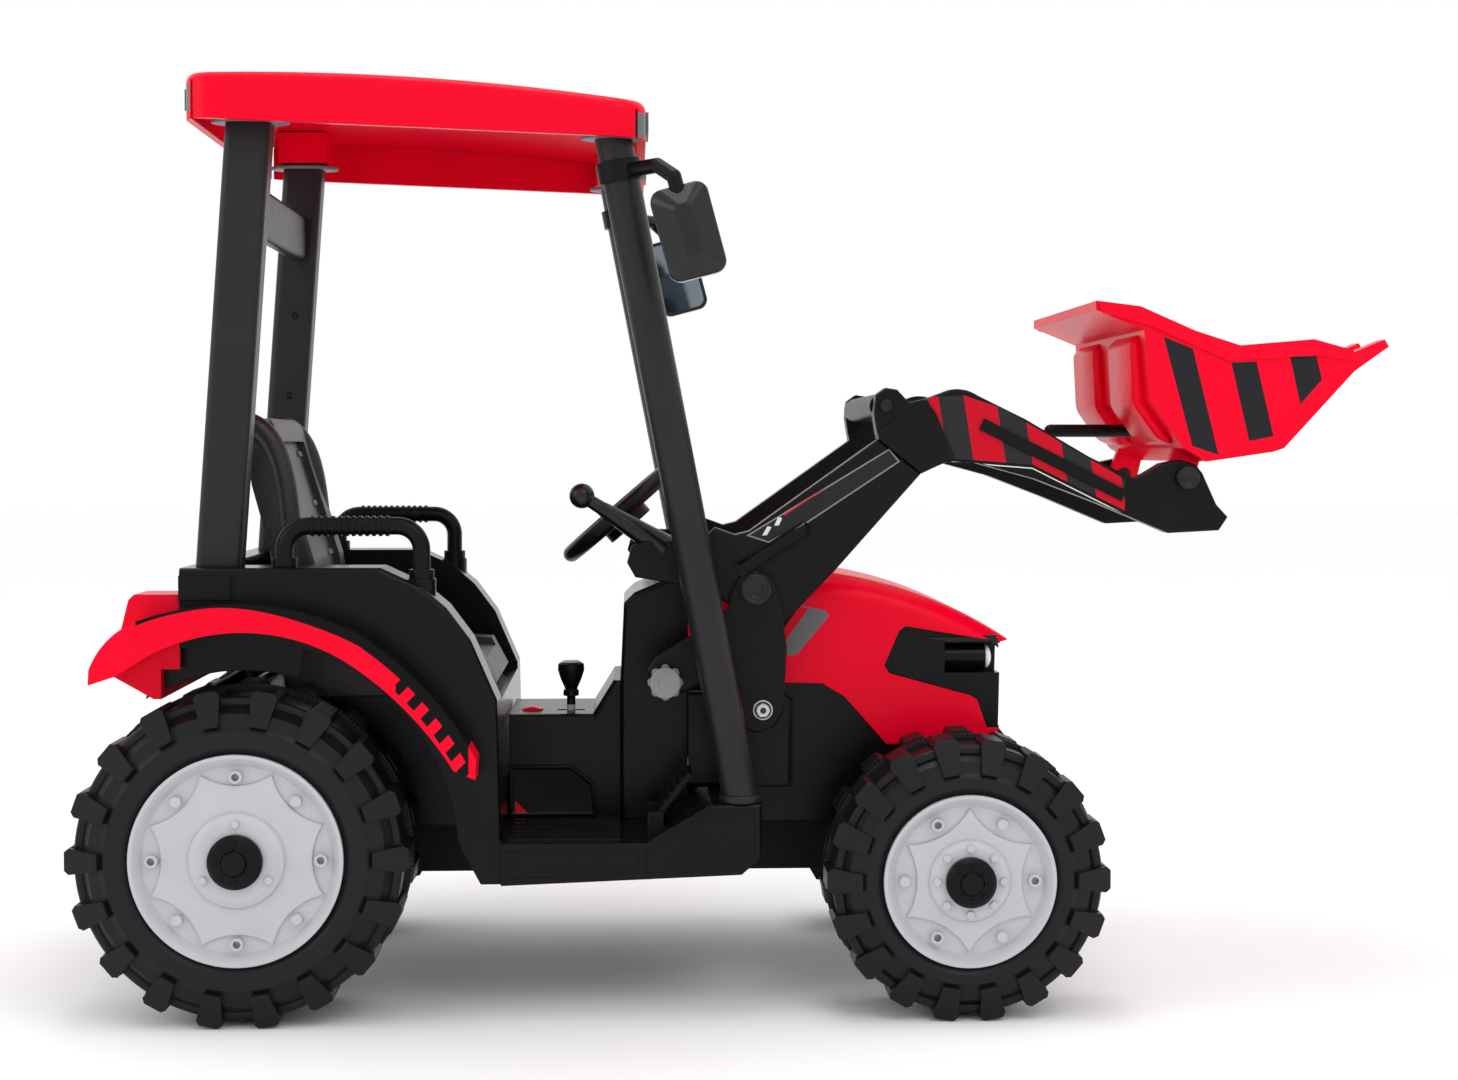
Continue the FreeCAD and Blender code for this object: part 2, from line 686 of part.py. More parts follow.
# Steering knuckle: kingpin, stub axle and the arm that the tie rod pulls.
knuckle = new_body("steering_knuckle")
pad(knuckle, "Eye", "XY_Plane", [], "front_tyre_radius - knuckle_half + side_gap",
    "2 * knuckle_half - 2 * side_gap", [("front_axle_x", "-kingpin_y", "14")])
pad(knuckle, "Kingpin", "XY_Plane", [], "front_tyre_radius - axle_beam_half - 3", "2 * axle_beam_half + 6",
    [("front_axle_x", "-kingpin_y", "kingpin_radius")])
pad(knuckle, "Stub", "XZ_Plane", [], "kingpin_y", "wheel_outer_y - kingpin_y - 2",
    [("front_axle_x", "front_tyre_radius", "axle_radius")])
pad(knuckle, "Shoulder", "XZ_Plane", [], "kingpin_y + 8",
    "wheel_outer_y - front_tyre_width + 12 - side_gap - kingpin_y - 8",
    [("front_axle_x", "front_tyre_radius", "axle_radius + 5")])
arm_loop = [("front_axle_x - steer_arm - 10", "-kingpin_y - 9"), ("front_axle_x", "-kingpin_y - 9"),
            ("front_axle_x", "-kingpin_y + 9"), ("front_axle_x - steer_arm - 10", "-kingpin_y + 9")]
pad(knuckle, "SteerArm", "XY_Plane", [arm_loop], "front_tyre_radius - 5", "10")
pocket(knuckle, "RodEye", "XY_Plane", [], "front_tyre_radius - 6", "12",
       [("front_axle_x - steer_arm", "-kingpin_y", "5")])
node(knuckle, "knuckle_right")
mirrored(knuckle, "knuckle_left")

# Tie rod: a bar under the steering arms, with a pin up into each arm's eye.
tie = new_body("tie_rod")
pad(tie, "RodBar", "XZ_Plane", [], "-kingpin_y - 8", "2 * kingpin_y + 16",
    [("front_axle_x - steer_arm", "front_tyre_radius - 5 - side_gap - tie_rod_radius", "tie_rod_radius")])
pad(tie, "RodPins", "XY_Plane", [], "front_tyre_radius - 8 - tie_rod_radius", "8 + tie_rod_radius + 3",
    [("front_axle_x - steer_arm", "-kingpin_y", "2.4"), ("front_axle_x - steer_arm", "kingpin_y", "2.4")])
node(tie, "tie_rod")

# Rear body: seat box between the wheels, side walls over them, a well for the seat.
def under_arch(dx):
    """Height of the wheel arch at a distance along X from the rear axle."""
    return "rear_tyre_radius + sqrt(arch_radius * arch_radius - (%s) * (%s))" % (dx, dx)


ARCH_REAR_Z = under_arch("body_rear_x - rear_axle_x")
ARCH_FRONT_X = "rear_axle_x + sqrt(arch_radius * arch_radius - (floor_z - rear_tyre_radius) ^ 2)"
ARCH_CHORD = "(({0}) - body_rear_x) ^ 2 + (floor_z - ({1})) ^ 2".format(ARCH_FRONT_X, ARCH_REAR_Z)
ARCH_DIP = "sqrt(arch_radius * arch_radius - ({0}) / 4) - arch_radius".format(ARCH_CHORD)
rear_body = new_body("rear_body")
side_loop = [("body_front_x", "floor_z"), ("body_front_x - 4", "seat_deck_z + 8"),
             ("body_front_x - 32", "body_top_z - 78"), ("body_front_x - 58", "body_top_z - 43"),
             ("body_front_x - 85", "body_top_z - 20"), ("body_front_x - 128", "body_top_z"),
             ("body_rear_x", "body_top_z"), ("body_rear_x", ARCH_REAR_Z, ARCH_DIP), (ARCH_FRONT_X, "floor_z")]
block_y(rear_body, "SideBlock", side_loop, "body_half")
box_loop = [("body_rear_x", "floor_z"), ("body_front_x", "floor_z"), ("body_front_x - 4", "seat_deck_z + 8"),
            ("body_rear_x", "seat_deck_z + 8")]
block_y(rear_body, "SeatBox", box_loop, "seat_box_half")
well_loop = [("body_rear_x + 44", "seat_deck_z"), ("body_front_x + 9", "seat_deck_z"),
             ("body_front_x + 9", "body_top_z + 9"), ("body_rear_x + 30", "body_top_z + 9")]
hollow_y(rear_body, "SeatWell", well_loop, "seat_well_half")
soften(rear_body, "WallSoft", "7", straight_above(at_y("body_half", "-body_half"), "body_rear_x + 1"))
box_hollow = [("body_rear_x + plastic_wall", "floor_z - 1"), ("body_front_x - plastic_wall", "floor_z - 1"),
              ("body_front_x - 2 * plastic_wall", "seat_deck_z - plastic_wall"),
              ("body_rear_x + plastic_wall", "seat_deck_z - plastic_wall")]
hollow_y(rear_body, "BoxHollow", box_hollow, "seat_box_half - plastic_wall")
wall_hollow = [("body_front_x - 9", "floor_z - 1"), ("body_front_x - 12", "seat_deck_z"),
               ("body_front_x - 38", "body_top_z - 84"), ("body_front_x - 63", "body_top_z - 51"),
               ("body_front_x - 89", "body_top_z - 28"), ("body_front_x - 130", "body_top_z - 8"),
               ("body_rear_x + 8", "body_top_z - 8"), ("body_rear_x + 8", "floor_z - 1")]
for name, start in (("WallHollowRight", "seat_well_half + plastic_wall"),
                    ("WallHollowLeft", "-body_half + 2 * plastic_wall")):
    pocket(rear_body, name, "XZ_Plane", [wall_hollow], start, "body_half - seat_well_half - 3 * plastic_wall")
under_deck = [("body_front_x - 9", "floor_z - 1"), ("body_front_x - 12", "seat_deck_z - plastic_wall"),
              ("body_rear_x + 8", "seat_deck_z - plastic_wall"), ("body_rear_x + 8", "floor_z - 1")]
for name, start in (("DeckHollowRight", "seat_box_half"), ("DeckHollowLeft", "-seat_well_half - plastic_wall")):
    pocket(rear_body, name, "XZ_Plane", [under_deck], start, "seat_well_half + plastic_wall - seat_box_half")
back_hollow = [("body_rear_x + 5", "seat_deck_z - 9"), ("body_rear_x + 39", "seat_deck_z - 9"),
               ("body_rear_x + 27", "body_top_z - 5"), ("body_rear_x + 5", "body_top_z - 5")]
hollow_y(rear_body, "BackHollow", back_hollow, "seat_well_half")
skirt_loop = [("body_front_x", "sill_bottom_z"), ("body_front_x", "floor_z + 3"), (ARCH_FRONT_X + " + 3", "floor_z + 3"),
              (ARCH_FRONT_X + " + 2", "floor_z - 4"), ("body_front_x - 22", "sill_bottom_z")]
for name, start in (("SkirtRight", "seat_well_half"), ("SkirtLeft", "-body_half")):
    pad(rear_body, name, "XZ_Plane", [skirt_loop], start, "body_half - seat_well_half")
for name, start in (("PodRight", "body_half - 1"), ("PodLeft", "-body_half - 5")):
    pod_loop = [("body_rear_x", "body_top_z - 34"), ("body_rear_x + 55", "body_top_z - 34"),
                ("body_rear_x + 55", "body_top_z - 8"), ("body_rear_x", "body_top_z - 8")]
    pad(rear_body, name, "XZ_Plane", [pod_loop], start, "6")
pad(rear_body, "ArmrestBosses", "XY_Plane", [], "body_top_z - 40", "armrest_foot_z - body_top_z + 40",
    [("armrest_front_x", "-armrest_y", "armrest_radius + 6"), ("armrest_front_x", "armrest_y", "armrest_radius + 6")])
node(rear_body, "rear_body")

# Fender: a red arch sheet with a skirt that hangs outside the wheel.
def by_axle(x, z, *sagitta):
    """A corner given from the rear wheel's centre."""
    return ("rear_axle_x + (%s)" % x, "rear_tyre_radius + (%s)" % z) + sagitta


fender = new_body("fender")
fender_loop = [by_axle("-150", "188"), by_axle("-122", "197"), by_axle("-86", "219", "-27"),
               by_axle("117", "212", "-9"), by_axle("230", "96"), by_axle("253", "86"),
               by_axle("254", "108", "10.5"), by_axle("135", "239", "22"), by_axle("-82", "260", "11.6"),
               by_axle("-149", "204")]
pad(fender, "Arch", "XZ_Plane", [fender_loop], "body_half", "fender_half - body_half")
fender_hollow = [by_axle("-142", "182"), by_axle("248", "70"), by_axle("249", "105", "10.5"),
                 by_axle("132.5", "234.5", "22"), by_axle("-80", "255.5", "11"), by_axle("-142", "203")]
pocket(fender, "ArchHollow", "XZ_Plane", [fender_hollow], "body_half - 1",
       "fender_half - body_half - fender_sheet + 1")
node(fender, "fender_right")
mirrored(fender, "fender_left")

# Tail panel between the fenders.
tail = new_body("tail_panel")
TAIL_BACK = "body_rear_x - tail_length"
tail_loop = [("body_rear_x", "tail_top_z - 80"), ("body_rear_x", "tail_top_z - tail_dip"),
             (TAIL_BACK + " + 12", "tail_top_z - tail_dip"),
             (TAIL_BACK, "tail_top_z - 70"), (TAIL_BACK + " + 6", "tail_top_z - 80")]
block_y(tail, "TailBlock", tail_loop, "body_half - 1")
shoulder_loop = [("body_rear_x", "tail_top_z - tail_dip - 12"), ("body_rear_x", "tail_top_z"),
                 (TAIL_BACK + " + 32", "tail_top_z"), (TAIL_BACK + " + 26", "tail_top_z - 6"),
                 (TAIL_BACK + " + 14", "tail_top_z - tail_dip - 12")]
for name, start in (("TailShoulderRight", "seat_well_half"), ("TailShoulderLeft", "1 - body_half")):
    pad(tail, name, "XZ_Plane", [shoulder_loop], start, "body_half - 1 - seat_well_half")
chin_loop = [("body_rear_x - 20", "tail_top_z - tail_drop"), ("body_rear_x - 20", "tail_top_z - 76"),
             (TAIL_BACK + " + 3", "tail_top_z - 76"), (TAIL_BACK + " + 10", "tail_top_z - 88"),
             (TAIL_BACK + " + 52", "tail_top_z - tail_drop")]
block_y(tail, "TailChin", chin_loop, "body_half - 1")
tail_hollow = [("body_rear_x + 1", "tail_top_z - 81"), ("body_rear_x + 1", "tail_top_z - tail_dip - 6"),
               (TAIL_BACK + " + 20", "tail_top_z - tail_dip - 6"),
               (TAIL_BACK + " + 8", "tail_top_z - 72"), (TAIL_BACK + " + 12", "tail_top_z - 81")]
hollow_y(tail, "TailHollow", tail_hollow, "body_half - 7")
chin_hollow = [("body_rear_x - 25", "tail_top_z - tail_drop - 1"), ("body_rear_x - 25", "tail_top_z - 75"),
               (TAIL_BACK + " + 12", "tail_top_z - 75"), (TAIL_BACK + " + 18", "tail_top_z - 90"),
               (TAIL_BACK + " + 51", "tail_top_z - tail_drop - 1")]
hollow_y(tail, "ChinHollow", chin_hollow, "body_half - 7")
node(tail, "tail_panel")

# Floor pan: footboards with a front pod each side, and the console along the middle.
floor = new_body("floor_pan")
floor_loop = [("body_front_x", "sill_bottom_z"), ("floor_front_x - 22", "sill_bottom_z + 10"),
              ("floor_front_x", "sill_bottom_z + 29"), ("floor_front_x", "pod_top_z"),
              ("floor_front_x - pod_length", "pod_top_z"), ("floor_front_x - pod_length - 70", "floor_z"),
              ("body_front_x", "floor_z")]
block_y(floor, "FloorBlock", floor_loop, "floor_half")
soften(floor, "FloorSoft", "6", straight_above(at_y("floor_half", "-floor_half"), "body_front_x + 1"))
console_loop = [("body_front_x", "floor_z - 2"), ("console_front_x", "floor_z - 2"),
                ("console_front_x", "console_top_z + 39"), ("console_front_x - 8", "console_top_z + 39"),
                ("console_front_x - 32", "console_top_z"), ("body_front_x", "console_top_z")]
block_y(floor, "ConsoleBlock", console_loop, "console_half")
soften(floor, "ConsoleSoft", "8", long_above(at_y("console_half", "-console_half"), "console_top_z - 1"))
badge_loop = [("body_front_x + 6", "floor_z + 4"), ("console_front_x - 36", "floor_z + 4"),
              ("console_front_x - 40", "floor_z + 40"), ("console_front_x - 68", "floor_z + 54"),
              ("console_front_x - 83", "floor_z + 58"), ("body_front_x + 6", "floor_z + 58")]
pad(floor, "BadgeRight", "XZ_Plane", [badge_loop], "console_half - 1", "4")
pad(floor, "BadgeLeft", "XZ_Plane", [badge_loop], "-console_half - 3", "4")
tread_near = [("body_front_x + 8", "-floor_half + 14"), ("body_front_x + 128", "-floor_half + 14"),
              ("body_front_x + 128", "-floor_half + 22"), ("body_front_x + 8", "-floor_half + 22")]
tread_far = [("body_front_x + 8", "console_half + 10"), ("body_front_x + 128", "console_half + 10"),
             ("body_front_x + 128", "console_half + 18"), ("body_front_x + 8", "console_half + 18")]
ribs = [pad(floor, "TreadRight", "XY_Plane", [tread_near], "floor_z - 1", "tread_height + 1"),
        pad(floor, "TreadLeft", "XY_Plane", [tread_far], "floor_z - 1", "tread_height + 1")]
row_of(floor, "Treads", ribs, "Y_Axis", "floor_half - console_half - 46", "tread_count")
PEDAL_FOOT_X = "pedal_x + 14"
PEDAL_FOOT_Z = "floor_z + 18"
lug_loop = [(PEDAL_FOOT_X + " - 9", "floor_z - 2"), (PEDAL_FOOT_X + " + 9", "floor_z - 2"),
            (PEDAL_FOOT_X + " + 9", PEDAL_FOOT_Z + " + 8"), (PEDAL_FOOT_X + " - 9", PEDAL_FOOT_Z + " + 8")]
for name, start in (("PedalLugInner", "pedal_y - pedal_width / 2 - 6.5"),
                    ("PedalLugOuter", "pedal_y + pedal_width / 2 + 0.5")):
    pad(floor, name, "XZ_Plane", [lug_loop], start, "6")
pocket(floor, "PedalBore", "XZ_Plane", [], "pedal_y - pedal_width / 2 - 7", "pedal_width + 14",
       [(PEDAL_FOOT_X, PEDAL_FOOT_Z, "4 + running_fit")])
floor_hollow = [("body_front_x + plastic_wall", "sill_bottom_z - 1"),
                ("floor_front_x - 8", "sill_bottom_z - 1"), ("floor_front_x - 7", "pod_top_z - 7"),
                ("floor_front_x - pod_length + 2", "pod_top_z - 7"),
                ("floor_front_x - pod_length - 68", "floor_z - 6"), ("body_front_x + plastic_wall", "floor_z - 6")]
hollow_y(floor, "FloorHollow", floor_hollow, "floor_half - 7")
spine_slot = [("body_front_x - 1", "sill_bottom_z - 1"), ("floor_front_x + 1", "sill_bottom_z - 1"),
              ("floor_front_x + 1", "floor_z"), ("body_front_x - 1", "floor_z")]
hollow_y(floor, "SpineSlot", spine_slot, "chassis_half")
console_hollow = [("body_front_x + plastic_wall", "floor_z - 7"), ("console_front_x + 1", "floor_z - 7"),
                  ("console_front_x + 1", "console_top_z + 34"), ("console_front_x - 7", "console_top_z + 34"),
                  ("console_front_x - 30", "console_top_z - 5"), ("body_front_x + plastic_wall", "console_top_z - 5")]
hollow_y(floor, "ConsoleHollow", console_hollow, "console_half - plastic_wall")
pocket(floor, "GearSlot", "XY_Plane", [[("gear_x - 16", "-gear_y - 5.5"), ("gear_x + 16", "-gear_y - 5.5"),
                                         ("gear_x + 16", "-gear_y + 5.5"), ("gear_x - 16", "-gear_y + 5.5")]],
       "console_top_z - 12", "14")
pocket(floor, "SwitchHole", "XY_Plane", [[("switch_x - 12.4", "-gear_y - 8.4"), ("switch_x + 12.4", "-gear_y - 8.4"),
                                           ("switch_x + 12.4", "-gear_y + 8.4"), ("switch_x - 12.4", "-gear_y + 8.4")]],
       "console_top_z - 12", "14")
dash_seat = [("dash_rear_x", "-dash_half"), ("dash_front_x", "-dash_half"),
             ("dash_front_x", "dash_half"), ("dash_rear_x", "dash_half")]
pocket(floor, "DashSeat", "XY_Plane", [dash_seat], "floor_z", "pod_top_z - floor_z + 1")
node(floor, "floor_pan")

# Dash tower behind the hood: it carries the steering column.
dash = new_body("DashShell")
dash_loop = [("dash_rear_x", "floor_z"), ("dash_front_x", "floor_z"), ("dash_front_x", "dash_peak_z"),
             ("dash_rear_x + 16", "dash_top_z"),
             ("dash_rear_x + 4", "dash_top_z - 12"), ("dash_rear_x", "console_top_z + 42")]
block_y(dash, "DashBlock", dash_loop, "dash_half")
soften(dash, "DashSoft", "6", behind(at_y("dash_half", "-dash_half"), "dash_front_x - 10"))
dash_hollow = [("dash_rear_x + plastic_wall", "floor_z - 1"), ("dash_front_x + 1", "floor_z - 1"),
               ("dash_front_x + 1", "dash_peak_z - 5"), ("dash_rear_x + 18", "dash_top_z - 5"), ("dash_rear_x + 8", "dash_top_z - 14"),
               ("dash_rear_x + plastic_wall", "console_top_z + 42")]
hollow_y(dash, "DashHollow", dash_hollow, "dash_half - 5")
column_bore = doc.addObject("Part::Cylinder", "ColumnBore")
place(column_bore, "steer_x", "0", "steer_z")
tilt(column_bore, "180 - steer_tilt")
column_bore.setExpression("Radius", bind("column_radius + 0.3"))
column_bore.setExpression("Height", bind("column_length"))
dash_bored = doc.addObject("Part::Cut", "DashBored")
dash_bored.Base = dash
dash_bored.Tool = column_bore
node(dash_bored, "dash_tower")

# Engine body: the black lower front, wide at the loader's feet and narrow between the wheels.
HOOD_REAR_Z = "hood_crest_z - 125"
seam = [("dash_front_x", HOOD_REAR_Z), ("nose_x - 217", "hood_crest_z - 129"),
        ("nose_x - 192", "hood_crest_z - 144"), ("nose_x - 143", "hood_crest_z - 199"),
        ("nose_x - 16", "nose_bottom_z")]
engine = new_body("front_body")
engine_loop = [("dash_front_x", "pod_top_z"), ("floor_front_x", "pod_top_z"), ("floor_front_x", "floor_z"),
               ("chassis_front_x", "floor_z"), ("nose_x - 26", "nose_bottom_z - 1")] + seam[:-1][::-1]
block_y(engine, "EngineBlock", engine_loop, "engine_half")
foot_loop = [("dash_front_x", "pod_top_z"), ("pivot_x + 45", "pod_top_z"), ("pivot_x + 45", "tower_bolt_z + 4"),
             ("pivot_x + 30", "tower_bolt_z + 17"), ("dash_front_x", "tower_bolt_z + 17")]
block_y(engine, "EngineFeet", foot_loop, "engine_wide_half")
soften(engine, "FeetSoft", "6", straight_above(at_y("engine_wide_half", "-engine_wide_half"), "dash_front_x"))
engine_hollow = [("dash_front_x - 1", "floor_z - 1"), ("chassis_front_x - 8", "floor_z - 1"),
                 ("nose_x - 35", "nose_bottom_z - 8"), ("nose_x - 147", "nose_bottom_z - 8"),
                 ("nose_x - 195", "hood_crest_z - 150"), ("nose_x - 218", "hood_crest_z - 135"),
                 ("dash_front_x - 1", "hood_crest_z - 132")]
hollow_y(engine, "EngineHollow", engine_hollow, "engine_half - 5")
node(engine, "front_body")

# Hood: the red shell over the engine, with a window for the black grille.
hood = new_body("hood")
hood_loop = seam + [("nose_x - 11", "hood_crest_z - 83"), ("nose_x", "hood_crest_z - 81", "13"),
                    ("nose_x - 206", "hood_crest_z - 4", "2"), ("dash_front_x", "hood_crest_z")]
block_y(hood, "HoodBlock", hood_loop, "hood_half")


def hood_shoulder(edge):
    """The two long upper side edges of the hood."""
    return at_y("hood_half", "-hood_half")(edge) and edge.Curve.TypeId == "Part::GeomCircle"


soften(hood, "HoodShoulder", "30", hood_shoulder)
window = [("nose_x - 28", "nose_bottom_z + 13"), ("nose_x + 30", "nose_bottom_z + 13"),
          ("nose_x + 30", "hood_crest_z - 83"), ("nose_x - 8", "hood_crest_z - 83"),
          ("nose_x - 122", "hood_crest_z - 64"), ("nose_x - 129", "hood_crest_z - 69"),
          ("nose_x - 146", "hood_crest_z - 109"), ("nose_x - 140", "hood_crest_z - 118"),
          ("nose_x - 46", "hood_crest_z - 144"), ("nose_x - 39", "hood_crest_z - 149")]
hollow_y(hood, "GrilleWindow", window, "hood_half + 1")
hood_hollow = [("dash_front_x - 1", "hood_crest_z - 190"), ("nose_x - 150", "hood_crest_z - 215"),
               ("nose_x - 30", "hood_crest_z - 215"), ("nose_x - 22", "nose_bottom_z + 6"),
               ("nose_x - 16", "hood_crest_z - 93", "13"), ("nose_x - 206", "hood_crest_z - 16", "2"),
               ("dash_front_x - 1", "hood_crest_z - 12")]
hollow_y(hood, "HoodHollow", hood_hollow, "hood_half - 12")
node(hood, "hood")

# Grille: the black nose insert with lamp bays at its corners and slots across its face.
grille = new_body("GrilleShell")
grille_loop = [window[0], ("nose_x - 14", "nose_bottom_z + 13"), ("nose_x - 12", "hood_crest_z - 82.4")] + window[4:]
block_y(grille, "GrilleBlock", grille_loop, "grille_half")
bay_loop = [("nose_x - 76", "lamp_z - lamp_radius - 2"), ("nose_x + 1", "lamp_z - lamp_radius - 2"),
            ("nose_x + 1", "lamp_z + lamp_radius + 2"), ("nose_x - 76", "lamp_z + lamp_radius + 2")]
pocket(grille, "BayRight", "XZ_Plane", [bay_loop], "lamp_y - lamp_radius - 3", "grille_half")
pocket(grille, "BayLeft", "XZ_Plane", [bay_loop], "-lamp_y + lamp_radius + 3 - grille_half", "grille_half")
slot_loop = [("-lamp_y + 30", "nose_bottom_z + 24"), ("lamp_y - 30", "nose_bottom_z + 24"),
             ("lamp_y - 30", "nose_bottom_z + 32"), ("-lamp_y + 30", "nose_bottom_z + 32")]
slot = pocket(grille, "GrilleSlot", "YZ_Plane", [slot_loop], "nose_x - 22", "20")
row_of(grille, "GrilleSlots", [slot], "Z_Axis", "64", "5")
core_loop = [("nose_x - 100", "nose_bottom_z + 74"), ("nose_x - 30", "nose_bottom_z + 54"),
             ("nose_x - 30", "hood_crest_z - 104"), ("nose_x - 100", "hood_crest_z - 92")]
hollow_y(grille, "GrilleCore", core_loop, "lamp_y - lamp_radius - 8")

lamp_bodies = []
lenses = []
for word, y in (("Right", "-lamp_y"), ("Left", "lamp_y")):
    lamp_bodies.append(cylinder_x("Lamp" + word, "nose_x - 80", y, "lamp_z", "lamp_radius", "52"))
    dome = doc.addObject("Part::Sphere", "LensBall" + word)
    place(dome, "nose_x - 28 + lens_depth - lamp_radius * 1.4", y, "lamp_z")
    dome.setExpression("Radius", bind("lamp_radius * 1.4"))
    disc = cylinder_x("LensDisc" + word, "nose_x - 28", y, "lamp_z", "lamp_radius - 2", "lens_depth")
    lens = doc.addObject("Part::Common", "Lens" + word)
    lens.Base = disc
    lens.Tool = dome
    lenses.append(lens)
grille_fused = doc.addObject("Part::MultiFuse", "GrilleWithLamps")
grille_fused.Shapes = [grille] + lamp_bodies
node(grille_fused, "grille")
group("headlamp_lenses", lenses)

# Seat: a high-backed bucket with side bolsters and a sunken middle panel.
seat = new_body("seat")
BACK_X = "body_rear_x + 92"
seat_loop = [(BACK_X, "seat_deck_z"), ("body_front_x - 20", "seat_deck_z"), ("body_front_x - 12", "seat_deck_z + 14"),
             ("body_front_x - 30", "seat_deck_z + 48"), ("body_front_x - 183", "seat_deck_z + 56", "-5"),
             ("body_front_x - 204", "seat_deck_z + 84"), ("body_front_x - 215", "seat_deck_z + 152"),
             ("body_front_x - 243", "seat_top_z - 72"), ("body_front_x - 262", "seat_top_z - 8"),
             ("body_front_x - 269", "seat_top_z"), ("body_front_x - 286", "seat_top_z"),
             ("body_front_x - 294", "seat_top_z - 11"), ("body_front_x - 284", "seat_top_z - 76"),
             ("body_front_x - 266", "seat_deck_z + 170")]
block_y(seat, "SeatBlock", seat_loop, "seat_half")


def seat_corner(edge):
    """The two upper outer corners of the backrest."""
    span = edge.BoundBox
    return abs(abs(span.YMin) - size("seat_half")) < 0.01 and span.YLength < 0.01 and span.ZLength < 0.01 \
        and abs(span.ZMax - size("seat_top_z")) < 0.01


soften(seat, "SeatCorners", "44", seat_corner)
panel_loop = [("body_front_x - 10", "seat_deck_z + 38"), ("body_front_x - 181", "seat_deck_z + 45", "-4"),
              ("body_front_x - 212", "seat_deck_z + 80"), ("body_front_x - 223", "seat_deck_z + 150"),
              ("body_front_x - 250", "seat_top_z - 76"), ("body_front_x - 265", "seat_top_z - 26"),
              ("body_front_x - 190", "seat_top_z - 26"), ("body_front_x", "seat_deck_z + 120")]
hollow_y(seat, "SeatPanel", panel_loop, "cushion_half")


def seat_rim(edge):
    """The outer side edges of the seat above its deck, in front."""
    return at_y("seat_half", "-seat_half")(edge) and edge.BoundBox.ZMax > size("seat_deck_z") + 20 \
        and edge.CenterOfMass.x > size("body_front_x - 262")


soften(seat, "SeatRim", "6", seat_rim)
seat_hollow = [("body_rear_x + 20", "seat_deck_z - 1"), ("body_front_x - 32", "seat_deck_z - 1"),
               ("body_front_x - 38", "seat_deck_z + 28"), ("body_front_x - 185", "seat_deck_z + 35"),
               ("body_front_x - 220", "seat_deck_z + 72"), ("body_front_x - 231", "seat_deck_z + 150"),
               ("body_front_x - 259", "seat_top_z - 72"), ("body_front_x - 276", "seat_top_z - 26"),
               ("body_front_x - 300", "seat_top_z - 26")]
hollow_y(seat, "SeatHollow", seat_hollow, "seat_half - 14")
node(seat, "seat")

# Armrest: a bent tube with a ribbed grip, on two flared feet.
armrest = new_body("Armrest")
ARM_DIP = "0.2929 * armrest_bend"
arm_path = [("armrest_rear_x", "body_top_z"), ("armrest_rear_x", "armrest_grip_z - armrest_bend", "-" + ARM_DIP),
            ("armrest_rear_x + armrest_bend", "armrest_grip_z"),
            ("armrest_front_x - armrest_bend", "armrest_grip_z", "-" + ARM_DIP),
            ("armrest_front_x", "armrest_grip_z - armrest_bend"), ("armrest_front_x", "armrest_foot_z + 3")]
sweep(armrest, "ArmTube", arm_path, "armrest_radius")
for name, x, z in (("FootRear", "armrest_rear_x", "body_top_z"), ("FootFront", "armrest_front_x", "armrest_foot_z")):
    pad(armrest, name, "XY_Plane", [], z, "10", [(x, "0", "armrest_radius + 4")])
rib = pad(armrest, "GripRib", "YZ_Plane", [], "armrest_rear_x + armrest_bend + 3", "3.4",
          [("0", "armrest_grip_z", "armrest_radius + grip_rib_height")])
row_of(armrest, "GripRibs", [rib], "X_Axis", "80", "grip_rib_count")
place(armrest, "0", "-armrest_y", "0")
group("armrests", [armrest, twin("ArmrestLeft", armrest)])

# Rear roof posts with a flat bar between them.
rear_post = new_body("RearPost")
HALF_POST = "rear_post_width / 2"
post_loop = [("rear_post_base_x - " + HALF_POST, "body_top_z"), ("rear_post_base_x + " + HALF_POST, "body_top_z"),
             ("rear_post_top_x + " + HALF_POST, "roof_socket_rear_z"),
             ("rear_post_top_x - " + HALF_POST, "roof_socket_rear_z")]
pad(rear_post, "PostBlock", "XZ_Plane", [post_loop], "rear_post_y - rear_post_depth / 2", "rear_post_depth")


def post_edge(edge):
    """The four long edges of a rear post."""
    return edge.BoundBox.ZLength > 100


soften(rear_post, "PostSoft", "9", post_edge)
post_bore = [("rear_post_base_x - " + HALF_POST + " + 6", "body_top_z - 1"),
             ("rear_post_base_x + " + HALF_POST + " - 6", "body_top_z - 1"),
             ("rear_post_top_x + " + HALF_POST + " - 6", "roof_socket_rear_z + 1"),
             ("rear_post_top_x - " + HALF_POST + " + 6", "roof_socket_rear_z + 1")]
pocket(rear_post, "PostHollow", "XZ_Plane", [post_bore], "rear_post_y - rear_post_depth / 2 + 6", "rear_post_depth - 12")
group("rear_posts", [rear_post, twin("RearPostLeft", rear_post)])

crossbar = new_body("rear_crossbar")
LEAN = "(rear_post_top_x - rear_post_base_x) / (roof_socket_rear_z - body_top_z)"
BAR_X = "rear_post_base_x + (crossbar_z - body_top_z) * " + LEAN
bar_loop = [(BAR_X + " - crossbar_depth / 2", "crossbar_z - crossbar_height / 2"),
            (BAR_X + " + crossbar_depth / 2", "crossbar_z - crossbar_height / 2"),
            (BAR_X + " + crossbar_depth / 2", "crossbar_z + crossbar_height / 2"),
            (BAR_X + " - crossbar_depth / 2", "crossbar_z + crossbar_height / 2")]
block_y(crossbar, "BarBlock", bar_loop, "rear_post_y - rear_post_depth / 2")
soften(crossbar, "BarSoft", "8", along_y)
node(crossbar, "rear_crossbar")

